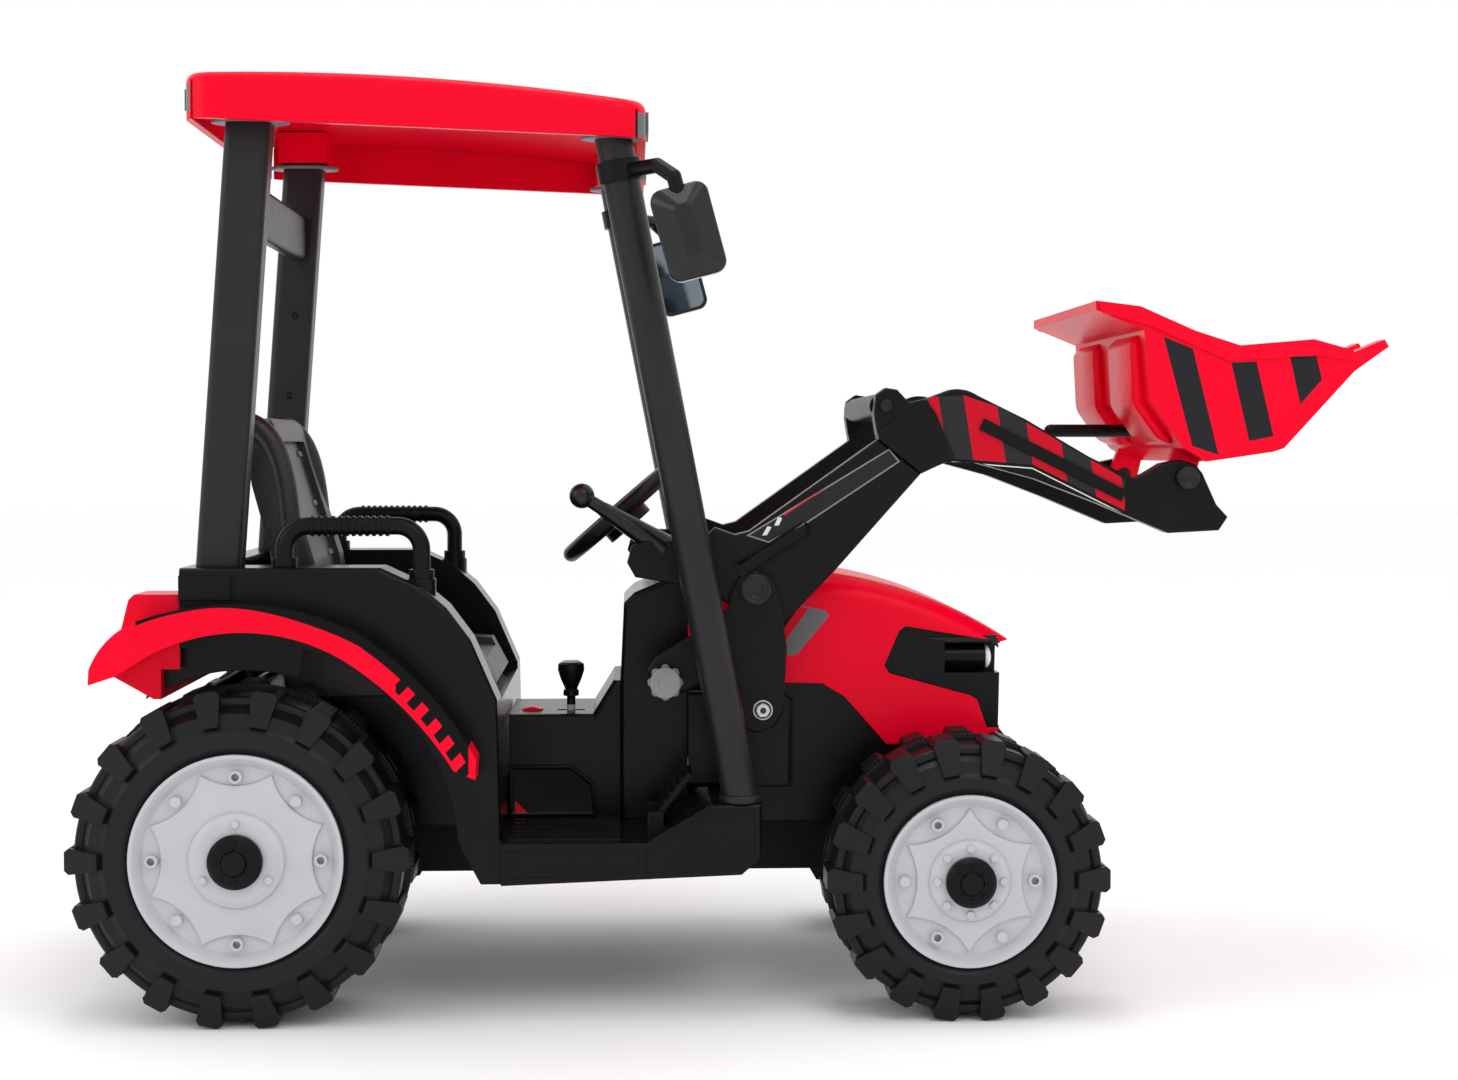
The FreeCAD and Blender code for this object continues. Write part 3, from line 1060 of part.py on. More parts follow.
# Front roof posts: slanted round tubes from the floor pods to the roof.
front_post = new_body("front_post")
tube_sketch = sketch_on(front_post, "TubeSketch", "XY_Plane", "pod_top_z")
draw_circle(tube_sketch, "front_post_base_x", "-front_post_y", "front_post_radius")
draw_circle(tube_sketch, "front_post_base_x", "-front_post_y", "front_post_radius - 3")
tube = front_post.newObject("PartDesign::Pad", "Tube")
tube.Profile = tube_sketch
tube.UseCustomVector = True
tube.Direction = point("front_post_top_x - front_post_base_x", "0", "roof_socket_front_z - pod_top_z")
tube.AlongSketchNormal = True
tube.setExpression("Length", bind("roof_socket_front_z - pod_top_z"))
doc.recompute()
node(front_post, "front_post_right")
mirrored(front_post, "front_post_left")

# Roof: a crowned shell with a skirt, and a socket for each post under it.
def roof_section(half, bottom, top, crown):
    return [("-(%s)" % half, bottom), (half, bottom), (half, top, crown), ("-(%s)" % half, top)]


def roof_plan(inset, corner):
    """The roof's outline from above, with round corners."""
    dip = "0.2929 * (%s)" % corner
    rear = "roof_rear_x + (%s)" % inset
    front = "roof_front_x - (%s)" % inset
    half = "roof_half - (%s)" % inset
    return [("%s + %s" % (rear, corner), "-(%s)" % half), ("%s - %s" % (front, corner), "-(%s)" % half, dip),
            (front, "-(%s) + %s" % (half, corner)), (front, "%s - %s" % (half, corner), dip),
            ("%s - %s" % (front, corner), half), ("%s + %s" % (rear, corner), half, dip),
            (rear, "%s - %s" % (half, corner)), (rear, "-(%s) + %s" % (half, corner), dip)]


roof = new_body("roof")
MID_X = "(roof_rear_x + roof_front_x) / 2"
MID_SKIRT = "(roof_skirt_rear_z + roof_skirt_front_z) / 2"
loft(roof, "RoofShell", "AdditiveLoft", "YZ_Plane",
     [("roof_rear_x - 2", roof_section("roof_half + 2", "roof_skirt_rear_z", "roof_edge_z", "roof_crown")),
      (MID_X, roof_section("roof_half + 2", MID_SKIRT, "roof_edge_z - 3", "roof_crown")),
      ("roof_front_x + 2", roof_section("roof_half + 2", "roof_skirt_front_z", "roof_edge_z - 28", "roof_crown"))])
around = [("roof_rear_x - 50", "-roof_half - 50"), ("roof_front_x + 50", "-roof_half - 50"),
          ("roof_front_x + 50", "roof_half + 50"), ("roof_rear_x - 50", "roof_half + 50")]
pocket(roof, "RoofTrim", "XY_Plane", [around, roof_plan("0", "roof_corner")], "roof_skirt_front_z - 50", "200")


def roof_brow(edge):
    """The edges round the roof's top."""
    return edge.BoundBox.ZMin > size("roof_skirt_rear_z") + 8 and edge.BoundBox.ZLength < 40


soften(roof, "RoofBrow", "roof_brow_radius", roof_brow)
loft(roof, "RoofHollow", "SubtractiveLoft", "YZ_Plane",
     [("roof_rear_x + roof_inset", roof_section("roof_half - roof_inset", "roof_skirt_rear_z - 9",
                                                "roof_edge_z - roof_sheet", "roof_crown")),
      (MID_X, roof_section("roof_half - roof_inset", MID_SKIRT + " - 9", "roof_edge_z - 3 - roof_sheet", "roof_crown")),
      ("roof_front_x - roof_inset", roof_section("roof_half - roof_inset", "roof_skirt_front_z - 9",
                                                 "roof_edge_z - 28 - roof_sheet", "roof_crown"))])
for name, y in (("RearSocketRight", "-rear_post_y"), ("RearSocketLeft", "rear_post_y")):
    socket = [("rear_post_top_x - 30", y + " - 24"), ("rear_post_top_x + 30", y + " - 24"),
              ("rear_post_top_x + 30", y + " + 24"), ("rear_post_top_x - 30", y + " + 24")]
    pad(roof, name, "XY_Plane", [socket], "roof_socket_rear_z", "roof_edge_z + 2 - roof_socket_rear_z")
for name, y in (("FrontSocketRight", "-front_post_y + 14"), ("FrontSocketLeft", "front_post_y - 14")):
    socket = [("front_post_top_x - 26", y + " - 22"), ("front_post_top_x + 26", y + " - 22"),
              ("front_post_top_x + 26", y + " + 22"), ("front_post_top_x - 26", y + " + 22")]
    pad(roof, name, "XY_Plane", [socket], "roof_socket_front_z", "roof_edge_z - 24 - roof_socket_front_z")
node(roof, "roof")

roof_lamps = []
for word, x in (("Rear", "roof_rear_x - 3"), ("Front", "roof_front_x")):
    for side, y in (("Right", "-roof_half + roof_corner + 4"), ("Left", "roof_half - roof_corner - 74")):
        lamp_z = "roof_skirt_rear_z + 12" if word == "Rear" else "roof_skirt_front_z + 10"
        roof_lamps.append(box("RoofLamp" + word + side, x, y, lamp_z, "3", "70", "22"))
group("roof_lamps", roof_lamps)


def fuse(name, shapes):
    """One solid from several overlapping ones."""
    joined = doc.addObject("Part::MultiFuse", name)
    joined.Shapes = shapes
    return joined


def cut(name, base, tool):
    """A solid with another one taken out of it."""
    rest = doc.addObject("Part::Cut", name)
    rest.Base = base
    rest.Tool = tool
    return rest


def ball(name, x, y, z, radius):
    sphere = doc.addObject("Part::Sphere", name)
    place(sphere, x, y, z)
    sphere.setExpression("Radius", bind(radius))
    return sphere


def strut(name, start, end, radius):
    """A round bar between two points given as texts."""
    bar = doc.addObject("Part::Cylinder", name)
    first, last = point(*start), point(*end)
    turn = FreeCAD.Rotation(FreeCAD.Vector(0, 0, 1), last - first)
    bar.Placement = FreeCAD.Placement(first, turn)
    bar.setExpression("Radius", bind(radius))
    bar.Height = (last - first).Length
    return bar


def leaning(name, x, y, z, angle, radius, length):
    """A round bar from a point, tilted forward from upright by an angle."""
    bar = doc.addObject("Part::Cylinder", name)
    place(bar, x, y, z)
    tilt(bar, angle)
    bar.setExpression("Radius", bind(radius))
    bar.setExpression("Height", bind(length))
    return bar


def round_rectangle(half_wide, half_tall, corner):
    """A centred rectangle with round corners."""
    a, b, dip = "(%s)" % half_wide, "(%s)" % half_tall, "0.2929 * (%s)" % corner
    return [("-%s + %s" % (a, corner), "-" + b), ("%s - %s" % (a, corner), "-" + b, dip),
            (a, "-%s + %s" % (b, corner)), (a, "%s - %s" % (b, corner), dip),
            ("%s - %s" % (a, corner), b), ("-%s + %s" % (a, corner), b, dip),
            ("-" + a, "%s - %s" % (b, corner)), ("-" + a, "-%s + %s" % (b, corner), dip)]


# Mirrors: a housing that swivels on the pin of an arm clamped to the front post.
mirror = new_body("mirror")
housing_loop = round_rectangle("mirror_width / 2", "mirror_height / 2", "13")
pad(mirror, "Housing", "XZ_Plane", [housing_loop], "-mirror_depth / 2", "mirror_depth - 13")
loft(mirror, "Dome", "AdditiveLoft", "XZ_Plane",
     [("mirror_depth / 2 - 13", housing_loop), ("mirror_depth / 2 + 3", round_rectangle("9", "mirror_height / 2 - 21", "6"))])
soften(mirror, "HousingSoft", "4", at_y("13 - mirror_depth / 2"))
pocket(mirror, "GlassSeat", "XZ_Plane", [round_rectangle("mirror_width / 2 - 4", "mirror_height / 2 - 4", "10")],
       "-mirror_depth / 2", "4")
pocket(mirror, "PinBore", "XY_Plane", [], "mirror_height / 2 - 14", "20",
       [("0", "0", "mirror_arm_radius + running_fit")])
glass = new_body("mirror_glass")
pad(glass, "Pane", "XZ_Plane", [round_rectangle("mirror_width / 2 - 4.3", "mirror_height / 2 - 4.3", "9.7")],
    "-mirror_depth / 2 + 1", "3")
for piece in (mirror, glass):
    place(piece, "mirror_x", "-mirror_y", "mirror_z")
    tilt(piece, "-mirror_lean")
    node(piece, piece.Name + "_right")
    mirrored(piece, piece.Name + "_left")

POST_LEAN = "(front_post_top_x - front_post_base_x) / (roof_socket_front_z - pod_top_z)"
PIN_RISE = "mirror_height / 2 + 24"
PIN_TOP_X = "mirror_x - (%s) * sin(mirror_lean)" % PIN_RISE
PIN_TOP_Z = "mirror_z + (%s) * cos(mirror_lean)" % PIN_RISE
CLAMP_X = "front_post_base_x + (%s - pod_top_z) * %s" % (PIN_TOP_Z, POST_LEAN)
FOOT_RISE = "mirror_height / 2 - 13"
pin = leaning("MirrorPin", "mirror_x - (%s) * sin(mirror_lean)" % FOOT_RISE, "-mirror_y",
              "mirror_z + (%s) * cos(mirror_lean)" % FOOT_RISE, "-mirror_lean", "mirror_arm_radius", "23")
LOW_RISE = PIN_RISE + " - 14"
BEND_LOW = ("mirror_x - (%s) * sin(mirror_lean)" % LOW_RISE, "-mirror_y", "mirror_z + (%s) * cos(mirror_lean)" % LOW_RISE)
BEND_HIGH = ("0.75 * (%s) + 0.25 * (%s)" % (PIN_TOP_X, CLAMP_X), "-0.75 * mirror_y - 0.25 * front_post_y", PIN_TOP_Z)
bends = [ball("MirrorBendLow", *BEND_LOW, "mirror_arm_radius"), ball("MirrorBendHigh", *BEND_HIGH, "mirror_arm_radius")]
slant = strut("MirrorSlant", BEND_LOW, BEND_HIGH, "mirror_arm_radius")
bar = strut("MirrorBar", BEND_HIGH, (CLAMP_X, "-front_post_y", PIN_TOP_Z), "mirror_arm_radius")
collar = leaning("MirrorCollar", CLAMP_X + " - 11 * " + POST_LEAN, "-front_post_y", PIN_TOP_Z + " - 11",
                 "atan(%s)" % POST_LEAN, "front_post_radius + 4", "22")
bore = leaning("MirrorCollarBore", CLAMP_X + " - 60 * " + POST_LEAN, "-front_post_y", PIN_TOP_Z + " - 60",
               "atan(%s)" % POST_LEAN, "front_post_radius + 0.3", "120")
mirror_arm = cut("MirrorArm", fuse("MirrorArmBlank", [pin, slant, bar, collar] + bends), bore)
group("mirror_arms", [mirror_arm, twin("MirrorArmLeft", mirror_arm)])

# Steering wheel on its column.
steering = new_body("steering_wheel")
revolve(steering, "Rim", "XZ_Plane", [], "V_Axis", [("steer_radius - steer_rim_radius", "0", "steer_rim_radius")])
pad(steering, "Hub", "XY_Plane", [], "-22", "30", [("0", "0", "30")])
spoke_loop = [("20", "-10"), ("steer_radius - steer_rim_radius", "-8"), ("steer_radius - steer_rim_radius", "8"), ("20", "10")]
spoke = pad(steering, "Spoke", "XY_Plane", [spoke_loop], "-6", "10")
ring_of(steering, "Spokes", [spoke], "Z_Axis", "3")
place(steering, "steer_x", "0", "steer_z")
tilt(steering, "-steer_tilt")
node(steering, "steering_wheel")
column = leaning("steering_column", "steer_x + 22 * sin(steer_tilt)", "0", "steer_z - 22 * cos(steer_tilt)",
                 "180 - steer_tilt", "column_radius", "column_length - 22")
node(column, "steering_column")

# Gear lever: a turned knob on a stem that rocks in its slot.
lever = new_body("gear_lever")
lever_loop = [("0", "-12"), ("5", "-12"), ("5", "16"), ("9", "17"), ("9", "23"), ("7", "25"), ("12", "36"),
              ("15.5", "47"), ("15", "54"), ("9", "58"), ("0", "58")]
revolve(lever, "LeverKnob", "XZ_Plane", [lever_loop], "V_Axis")
place(lever, "gear_x", "-gear_y", "console_top_z")
node(lever, "gear_lever")

rocker = new_body("power_switch")
rocker_loop = [("-8", "-8"), ("8", "-8"), ("11", "0"), ("11", "2"), ("0", "4.5"), ("-11", "2"), ("-11", "0")]
block_y(rocker, "Rocker", rocker_loop, "8")
place(rocker, "switch_x", "-gear_y", "console_top_z")
node(rocker, "power_switch")

# Accelerator pedal: a ribbed plate on a hinge pin above the right footboard.
pedal = new_body("accelerator_pedal")
plate_loop = turned([("-3", "-3"), ("pedal_length", "-3"), ("pedal_length", "3"), ("-3", "3")], "pedal_angle")
block_y(pedal, "PedalPlate", plate_loop, "pedal_width / 2")
pad(pedal, "PedalPin", "XZ_Plane", [], "-pedal_width / 2 - 6", "pedal_width + 12", [("0", "0", "4")])
for i in range(4):
    near = "pedal_length * %s" % (0.3 + 0.17 * i)
    far = "pedal_length * %s + 4" % (0.3 + 0.17 * i)
    rib_loop = turned([(near, "2"), (far, "2"), (far, "5"), (near, "5")], "pedal_angle")
    block_y(pedal, "PedalRib%d" % i, rib_loop, "pedal_width / 2 - 6")
place(pedal, PEDAL_FOOT_X, "-pedal_y", PEDAL_FOOT_Z)
node(pedal, "accelerator_pedal")


def by_pivot(x, z):
    """A corner given from the loader's main pivot."""
    return ("pivot_x + (%s)" % x, "pivot_z + (%s)" % z)


def by_pin(x, z):
    """A corner given from the bucket's pivot."""
    return ("bucket_pivot_x + (%s)" % x, "bucket_pivot_z + (%s)" % z)


ARM_OUTER = "arm_y + arm_half"
PLATE_INNER = "arm_y + arm_half + tower_gap"
PLATE_OUTER = "arm_y + arm_half + tower_gap + tower_plate"

# Loader tower: a foot on the engine body, two ears for the arm and a brace to the dash.
tower = new_body("Tower")
ear_top = [by_pivot("27", "-6"), by_pivot("18", "13"), by_pivot("0", "21"), by_pivot("-18", "13"), by_pivot("-28", "-6")]
foot = [("pivot_x - 29", "tower_bolt_z - 4"), ("pivot_x - 18", "tower_bolt_z - 20"), ("pivot_x + 1", "tower_bolt_z - 26"),
        ("pivot_x + 20", "tower_bolt_z - 20"), ("pivot_x + 31", "tower_bolt_z - 4")]
plate_loop = [by_pivot("35", "-65")] + ear_top + [
    by_pivot("-31", "-21"), by_pivot("-66", "-47"), ("knob_x - 10", "knob_z + 27"), ("knob_x - 19", "knob_z + 13"),
    ("knob_x - 18", "knob_z - 7"), ("knob_x - 3", "knob_z - 18"), ("knob_x + 13", "knob_z - 16"),
    by_pivot("-31", "-89")] + foot
pad(tower, "OuterEar", "XZ_Plane", [plate_loop], PLATE_INNER, "tower_plate")
foot_block = [by_pivot("35", "-65"), by_pivot("-29", "-65")] + foot
pad(tower, "FootBlock", "XZ_Plane", [foot_block], "engine_wide_half", PLATE_OUTER + " - engine_wide_half")
soften(tower, "TowerSoft", "3", at_y("-(%s)" % PLATE_OUTER))
inner_ear = [by_pivot("35", "-70"), by_pivot("35", "-55")] + ear_top + [by_pivot("-29", "-40"), by_pivot("-29", "-70")]
pad(tower, "InnerEar", "XZ_Plane", [inner_ear], "arm_y - arm_half - tower_gap - tower_plate", "tower_plate")
pad(tower, "KnobSleeve", "XZ_Plane", [], "dash_half", PLATE_OUTER + " - dash_half - 1", [("knob_x", "knob_z", "11")])
pocket(tower, "PivotBore", "XZ_Plane", [], "engine_wide_half - 1", "80", [("pivot_x", "pivot_z", "pivot_radius")])
pocket(tower, "BoltBore", "XZ_Plane", [], "engine_wide_half - 1", "80", [("tower_bolt_x", "tower_bolt_z", "5")])
pocket(tower, "KnobBore", "XZ_Plane", [], "dash_half - 1", "120", [("knob_x", "knob_z", "5")])
group("loader_towers", [tower, twin("TowerLeft", tower)])

# Fasteners of the towers: pivot pins, foot bolts and the lobed hand knobs.
pivot = fuse("PivotPin", [
    cylinder_y("PivotShaft", "pivot_x", "-(%s)" % PLATE_OUTER, "pivot_z", "pivot_radius",
               "2 * arm_half + 2 * tower_gap + 2 * tower_plate"),
    cylinder_y("PivotHead", "pivot_x", "-(%s) - 7" % PLATE_OUTER, "pivot_z", "pivot_radius + 8", "7")])
bolt = new_body("TowerBolt")
pad(bolt, "Washer", "XZ_Plane", [], PLATE_OUTER, "2", [("tower_bolt_x", "tower_bolt_z", "11")])
hexagon = [("tower_bolt_x + 8 * cos(%d)" % a, "tower_bolt_z + 8 * sin(%d)" % a) for a in range(0, 360, 60)]
pad(bolt, "Nut", "XZ_Plane", [hexagon], PLATE_OUTER + " + 1", "7")
pad(bolt, "Shank", "XZ_Plane", [], "engine_wide_half", PLATE_OUTER + " - engine_wide_half + 2",
    [("tower_bolt_x", "tower_bolt_z", "5")])
group("loader_bolts", [pivot, twin("PivotPinLeft", pivot), bolt, twin("TowerBoltLeft", bolt)])
knob = new_body("HandKnob")
pad(knob, "KnobDisc", "XZ_Plane", [], PLATE_OUTER, "12", [("0", "0", "15")])
lobe = pad(knob, "KnobLobe", "XZ_Plane", [], PLATE_OUTER, "12", [("15", "0", "4.6")])
ring_of(knob, "KnobLobes", [lobe], "Y_Axis", "8")
pad(knob, "KnobCap", "XZ_Plane", [], PLATE_OUTER + " + 11", "4", [("0", "0", "9")])
pad(knob, "KnobScrew", "XZ_Plane", [], "dash_half", PLATE_OUTER + " - dash_half + 1", [("0", "0", "5")])
place(knob, "knob_x", "0", "knob_z")
group("clamp_knobs", [knob, twin("HandKnobLeft", knob)])

# Lift arm, from the lever lobe behind the pivot to the elbow.
arm = new_body("loader_arm")
arm_loop = [by_pivot("33", "-38"), by_pivot("89", "20"), by_pivot("185", "128"), by_pivot("137", "166"),
            by_pivot("-6", "64"), by_pivot("-22", "60"), by_pivot("-44", "68"), by_pivot("-61", "53"),
            by_pivot("-120", "55"), by_pivot("-137", "47"), by_pivot("-142", "29"), by_pivot("-133", "13"),
            by_pivot("-61", "1"), by_pivot("-15", "-26"), by_pivot("5", "-38")]
pad(arm, "ArmBlock", "XZ_Plane", [arm_loop], "arm_y - arm_half", "2 * arm_half")
soften(arm, "ArmSoft", "3", at_y("-(%s)" % ARM_OUTER))
slot_loop = [by_pivot("-16", "16"), by_pivot("-10", "12"), by_pivot("60", "58"), by_pivot("62", "70"),
             by_pivot("54", "76"), by_pivot("-22", "28")]
pocket(arm, "ArmSlot", "XZ_Plane", [slot_loop], "arm_y - arm_half - 1", "2 * arm_half + 2")
pocket(arm, "ArmBore", "XZ_Plane", [], "arm_y - arm_half - 1", "2 * arm_half + 2",
       [("pivot_x", "pivot_z", "pivot_radius + running_fit")])
node(arm, "loader_arm_right")
mirrored(arm, "loader_arm_left")

# Forearm, from the elbow plate to the bucket's pivot.
forearm = new_body("loader_forearm")
elbow_ear = [("elbow_x + 26", "elbow_z + 4"), ("elbow_x + 13", "elbow_z + 18"), ("elbow_x", "elbow_z + 20"),
             ("elbow_x - 11", "elbow_z + 12"), ("elbow_x - 13", "elbow_z - 9"), ("elbow_x - 10", "elbow_z - 28")]
seam_low = by_pivot("185", "128")
seam_high = by_pivot("137", "166")
forearm_loop = [seam_low, ("elbow_x + 67", "elbow_z - 63"), ("elbow_x + 102", "elbow_z - 63.5"),
                ("elbow_x + 167", "elbow_z - 81"), by_pin("-101", "-28"), by_pin("-20", "-62"), by_pin("37", "-59"),
                by_pin("47", "-44"), by_pin("34", "-30"), by_pin("18", "5"), by_pin("10", "15"), by_pin("-8", "20"),
                by_pin("-27", "16"), by_pin("-45", "5"), by_pin("-58", "-1"), by_pin("-109", "23"), ("elbow_x + 156", "elbow_z - 14.5"),
                ("elbow_x + 102", "elbow_z + 12", "3"), ("elbow_x + 72", "elbow_z + 18"),
                ("elbow_x + 45", "elbow_z + 8")] + elbow_ear + [seam_high]
pad(forearm, "ForearmBlock", "XZ_Plane", [forearm_loop], "arm_y - arm_half", "2 * arm_half")
soften(forearm, "ForearmSoft", "2.5", at_y("-(%s)" % ARM_OUTER))
elbow_loop = [seam_low, ("elbow_x + 67", "elbow_z - 62"), ("elbow_x + 76", "elbow_z - 56"),
              ("elbow_x + 56", "elbow_z - 9"), ("elbow_x + 45", "elbow_z + 7"), ("elbow_x - 9", "elbow_z - 28"), seam_high]
pad(forearm, "ElbowPlate", "XZ_Plane", [elbow_loop], ARM_OUTER + " - 1", "4")
strip_loop = [("elbow_x + 104", "elbow_z - 26"), by_pin("-74", "-26"), by_pin("-68", "-14"), ("elbow_x + 110", "elbow_z - 14")]
pad(forearm, "RibStrip", "XZ_Plane", [strip_loop], ARM_OUTER + " - 1", "4")
pocket(forearm, "PinSeat", "XZ_Plane", [], "arm_y - arm_half - 1", "2 * arm_half + 2",
       [("bucket_pivot_x", "bucket_pivot_z", "bucket_pin_radius")])
node(forearm, "loader_forearm_right")
mirrored(forearm, "loader_forearm_left")

beam = cylinder_y("loader_crossbeam", "elbow_x", "-arm_y + arm_half", "elbow_z", "beam_half", "2 * arm_y - 2 * arm_half")
node(beam, "loader_crossbeam")

# Lift lever: a tapered shaft with a ball, on the right arm's rear lobe.
LEVER_FOOT = ("pivot_x - 90", "pivot_z + 39")
LEVER_RUN = "sqrt((lever_ball_x - pivot_x + 90) ^ 2 + (lever_ball_z - pivot_z - 39) ^ 2)"
shaft = doc.addObject("Part::Cone", "LeverShaft")
place(shaft, LEVER_FOOT[0], "-arm_y", LEVER_FOOT[1])
LEVER_LEAN = "atan((lever_ball_x - pivot_x + 90) / (lever_ball_z - pivot_z - 39))"
tilt(shaft, LEVER_LEAN)
shaft.setExpression("Radius1", bind("lever_ball_radius - 4"))
shaft.setExpression("Radius2", bind("lever_ball_radius / 2"))
shaft.setExpression("Height", bind(LEVER_RUN))
grip = ball("LeverBall", "lever_ball_x", "-arm_y", "lever_ball_z", "lever_ball_radius")
tilt(grip, LEVER_LEAN)
lift_lever = cut("LiftLever", fuse("LiftLeverBlank", [shaft, grip]), arm)
node(lift_lever, "lift_lever")

# Bucket: an open scoop with a thick rim, teeth along its lip and an ear at each arm.
bucket = new_body("bucket")
bucket_loop = [by_pin("19", "18"), by_pin("94", "29"), by_pin("106", "33"), by_pin("184", "118"), by_pin("200", "130"),
               by_pin("182", "142"), by_pin("138", "154"), by_pin("55", "147"), by_pin("5", "163"), by_pin("-57", "190"),
               by_pin("-106", "196"), by_pin("-106", "186"), by_pin("-52", "164"), by_pin("-46", "86"), by_pin("-7", "33")]
block_y(bucket, "BucketBlock", bucket_loop, "bucket_half")
rim_loop = [by_pin("-100", "183"), by_pin("-46", "168"), by_pin("43", "129"), by_pin("140", "136"), by_pin("176", "131"),
            by_pin("182", "142"), by_pin("138", "154"), by_pin("55", "147"), by_pin("5", "163"), by_pin("-57", "190"),
            by_pin("-106", "196")]
pad(bucket, "RimRight", "XZ_Plane", [rim_loop], "bucket_half - 1", "4")
pad(bucket, "RimLeft", "XZ_Plane", [rim_loop], "-bucket_half - 3", "4")
scoop_loop = [by_pin("22", "24"), by_pin("92", "34.5"), by_pin("102", "38"), by_pin("183", "127"), by_pin("205", "240"),
              by_pin("-112", "240"), by_pin("-103", "193"), by_pin("-47", "170"), by_pin("-41", "87"), by_pin("-4", "38.5")]
hollow_y(bucket, "Scoop", scoop_loop, "bucket_half - bucket_wall")
TIP = "tooth_tip_x - bucket_pivot_x"
tooth_loop = [by_pin("190", "122.5"), by_pin(TIP, "146"), by_pin(TIP + " - 5", "154"), by_pin("180", "138")]
tooth = pad(bucket, "Tooth", "XZ_Plane", [tooth_loop], "bucket_half - 2 * tooth_half", "2 * tooth_half")
row_of(bucket, "Teeth", [tooth], "Y_Axis", "2 * bucket_half - 2 * tooth_half", "tooth_count")
ear_loop = [by_pin("0", "-17"), by_pin("12", "-12"), by_pin("17", "0"), by_pin("22", "21"), by_pin("-6", "36"),
            by_pin("-15", "12"), by_pin("-17", "0"), by_pin("-12", "-12")]
for name, start in (("EarRight", "arm_y - arm_half - 2 - bucket_ear"), ("EarLeft", "-arm_y + arm_half + 2")):
    pad(bucket, name, "XZ_Plane", [ear_loop], start, "bucket_ear")
pocket(bucket, "EarBores", "XZ_Plane", [], "-arm_y", "2 * arm_y",
       [("bucket_pivot_x", "bucket_pivot_z", "bucket_pin_radius + running_fit")])
node(bucket, "bucket")

bucket_pin = fuse("BucketPin", [
    cylinder_y("BucketShaft", "bucket_pivot_x", "-(%s)" % ARM_OUTER, "bucket_pivot_z", "bucket_pin_radius",
               "2 * arm_half + bucket_ear + 4"),
    cylinder_y("BucketPinHead", "bucket_pivot_x", "-(%s) - 6" % ARM_OUTER, "bucket_pivot_z", "bucket_pin_radius + 5", "6")])
group("bucket_pins", [bucket_pin, twin("BucketPinLeft", bucket_pin)])

handle_rod = fuse("BucketHandleBlank", [
    cylinder_x("BucketHandleRod", "bucket_pivot_x - 120", "0", "bucket_pivot_z + 54", "7.5", "97"),
    ball("BucketHandleEnd", "bucket_pivot_x - 120", "0", "bucket_pivot_z + 54", "7.5")])
node(cut("BucketHandle", handle_rod, bucket), "bucket_handle")


def write_parts():
    """Checks every object and writes each named piece to a file of its own."""
    doc.recompute()
    for obj in doc.Objects:
        if "Invalid" in obj.State or "Error" in obj.State:
            raise RuntimeError("%s is %s" % (obj.Name, obj.State))
    for piece in NODES:
        if piece.Shape.isNull() or not piece.Shape.isValid():
            raise RuntimeError(piece.Label + " has no sound shape")
    os.makedirs("parts", exist_ok=True)
    for piece in NODES:
        piece.Shape.exportStep("parts/%s.step" % piece.Label)


write_parts()
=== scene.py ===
"""Looks of the ride-on toy tractor: finishes, stickers and small trim over its fixed frame."""
import math

import bpy
from bpy.props import FloatProperty, FloatVectorProperty, PointerProperty
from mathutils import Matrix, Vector


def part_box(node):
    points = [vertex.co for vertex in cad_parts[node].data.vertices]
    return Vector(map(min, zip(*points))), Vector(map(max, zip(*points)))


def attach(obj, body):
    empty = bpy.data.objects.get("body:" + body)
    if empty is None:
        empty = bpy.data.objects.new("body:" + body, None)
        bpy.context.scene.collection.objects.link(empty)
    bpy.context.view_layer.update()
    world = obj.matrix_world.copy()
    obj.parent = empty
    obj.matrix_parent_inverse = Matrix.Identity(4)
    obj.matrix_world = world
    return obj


bl_info = {
    "name": "Ride-on tractor looks",
    "version": (1, 0, 0),
    "blender": (4, 5, 0),
    "location": "View3D > Sidebar > Tractor",
    "description": "Gives the toy tractor its finishes, stickers, trim, lights and camera",
    "category": "Object",
}

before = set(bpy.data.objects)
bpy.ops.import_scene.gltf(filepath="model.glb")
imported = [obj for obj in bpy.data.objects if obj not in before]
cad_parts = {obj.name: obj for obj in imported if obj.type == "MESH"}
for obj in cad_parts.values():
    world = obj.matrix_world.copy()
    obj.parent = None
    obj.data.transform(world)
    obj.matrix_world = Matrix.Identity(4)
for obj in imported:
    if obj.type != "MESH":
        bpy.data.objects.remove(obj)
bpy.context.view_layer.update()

# Sockets of the Mix node when it mixes colours.
MIX_FACTOR, MIX_LOW, MIX_HIGH = 0, 6, 7
MIX_RESULT = 2

EDGE_SAMPLES = 4
FACES_OUT = 0.75


def colour(label, words, default):
    """A colour that a user can change."""
    return FloatVectorProperty(name=label, description=words, subtype="COLOR", size=3, min=0, max=1,
                               default=default)


def length(label, words, default):
    """A length in metres that a user can change."""
    return FloatProperty(name=label, description=words, subtype="DISTANCE", unit="LENGTH", default=default)


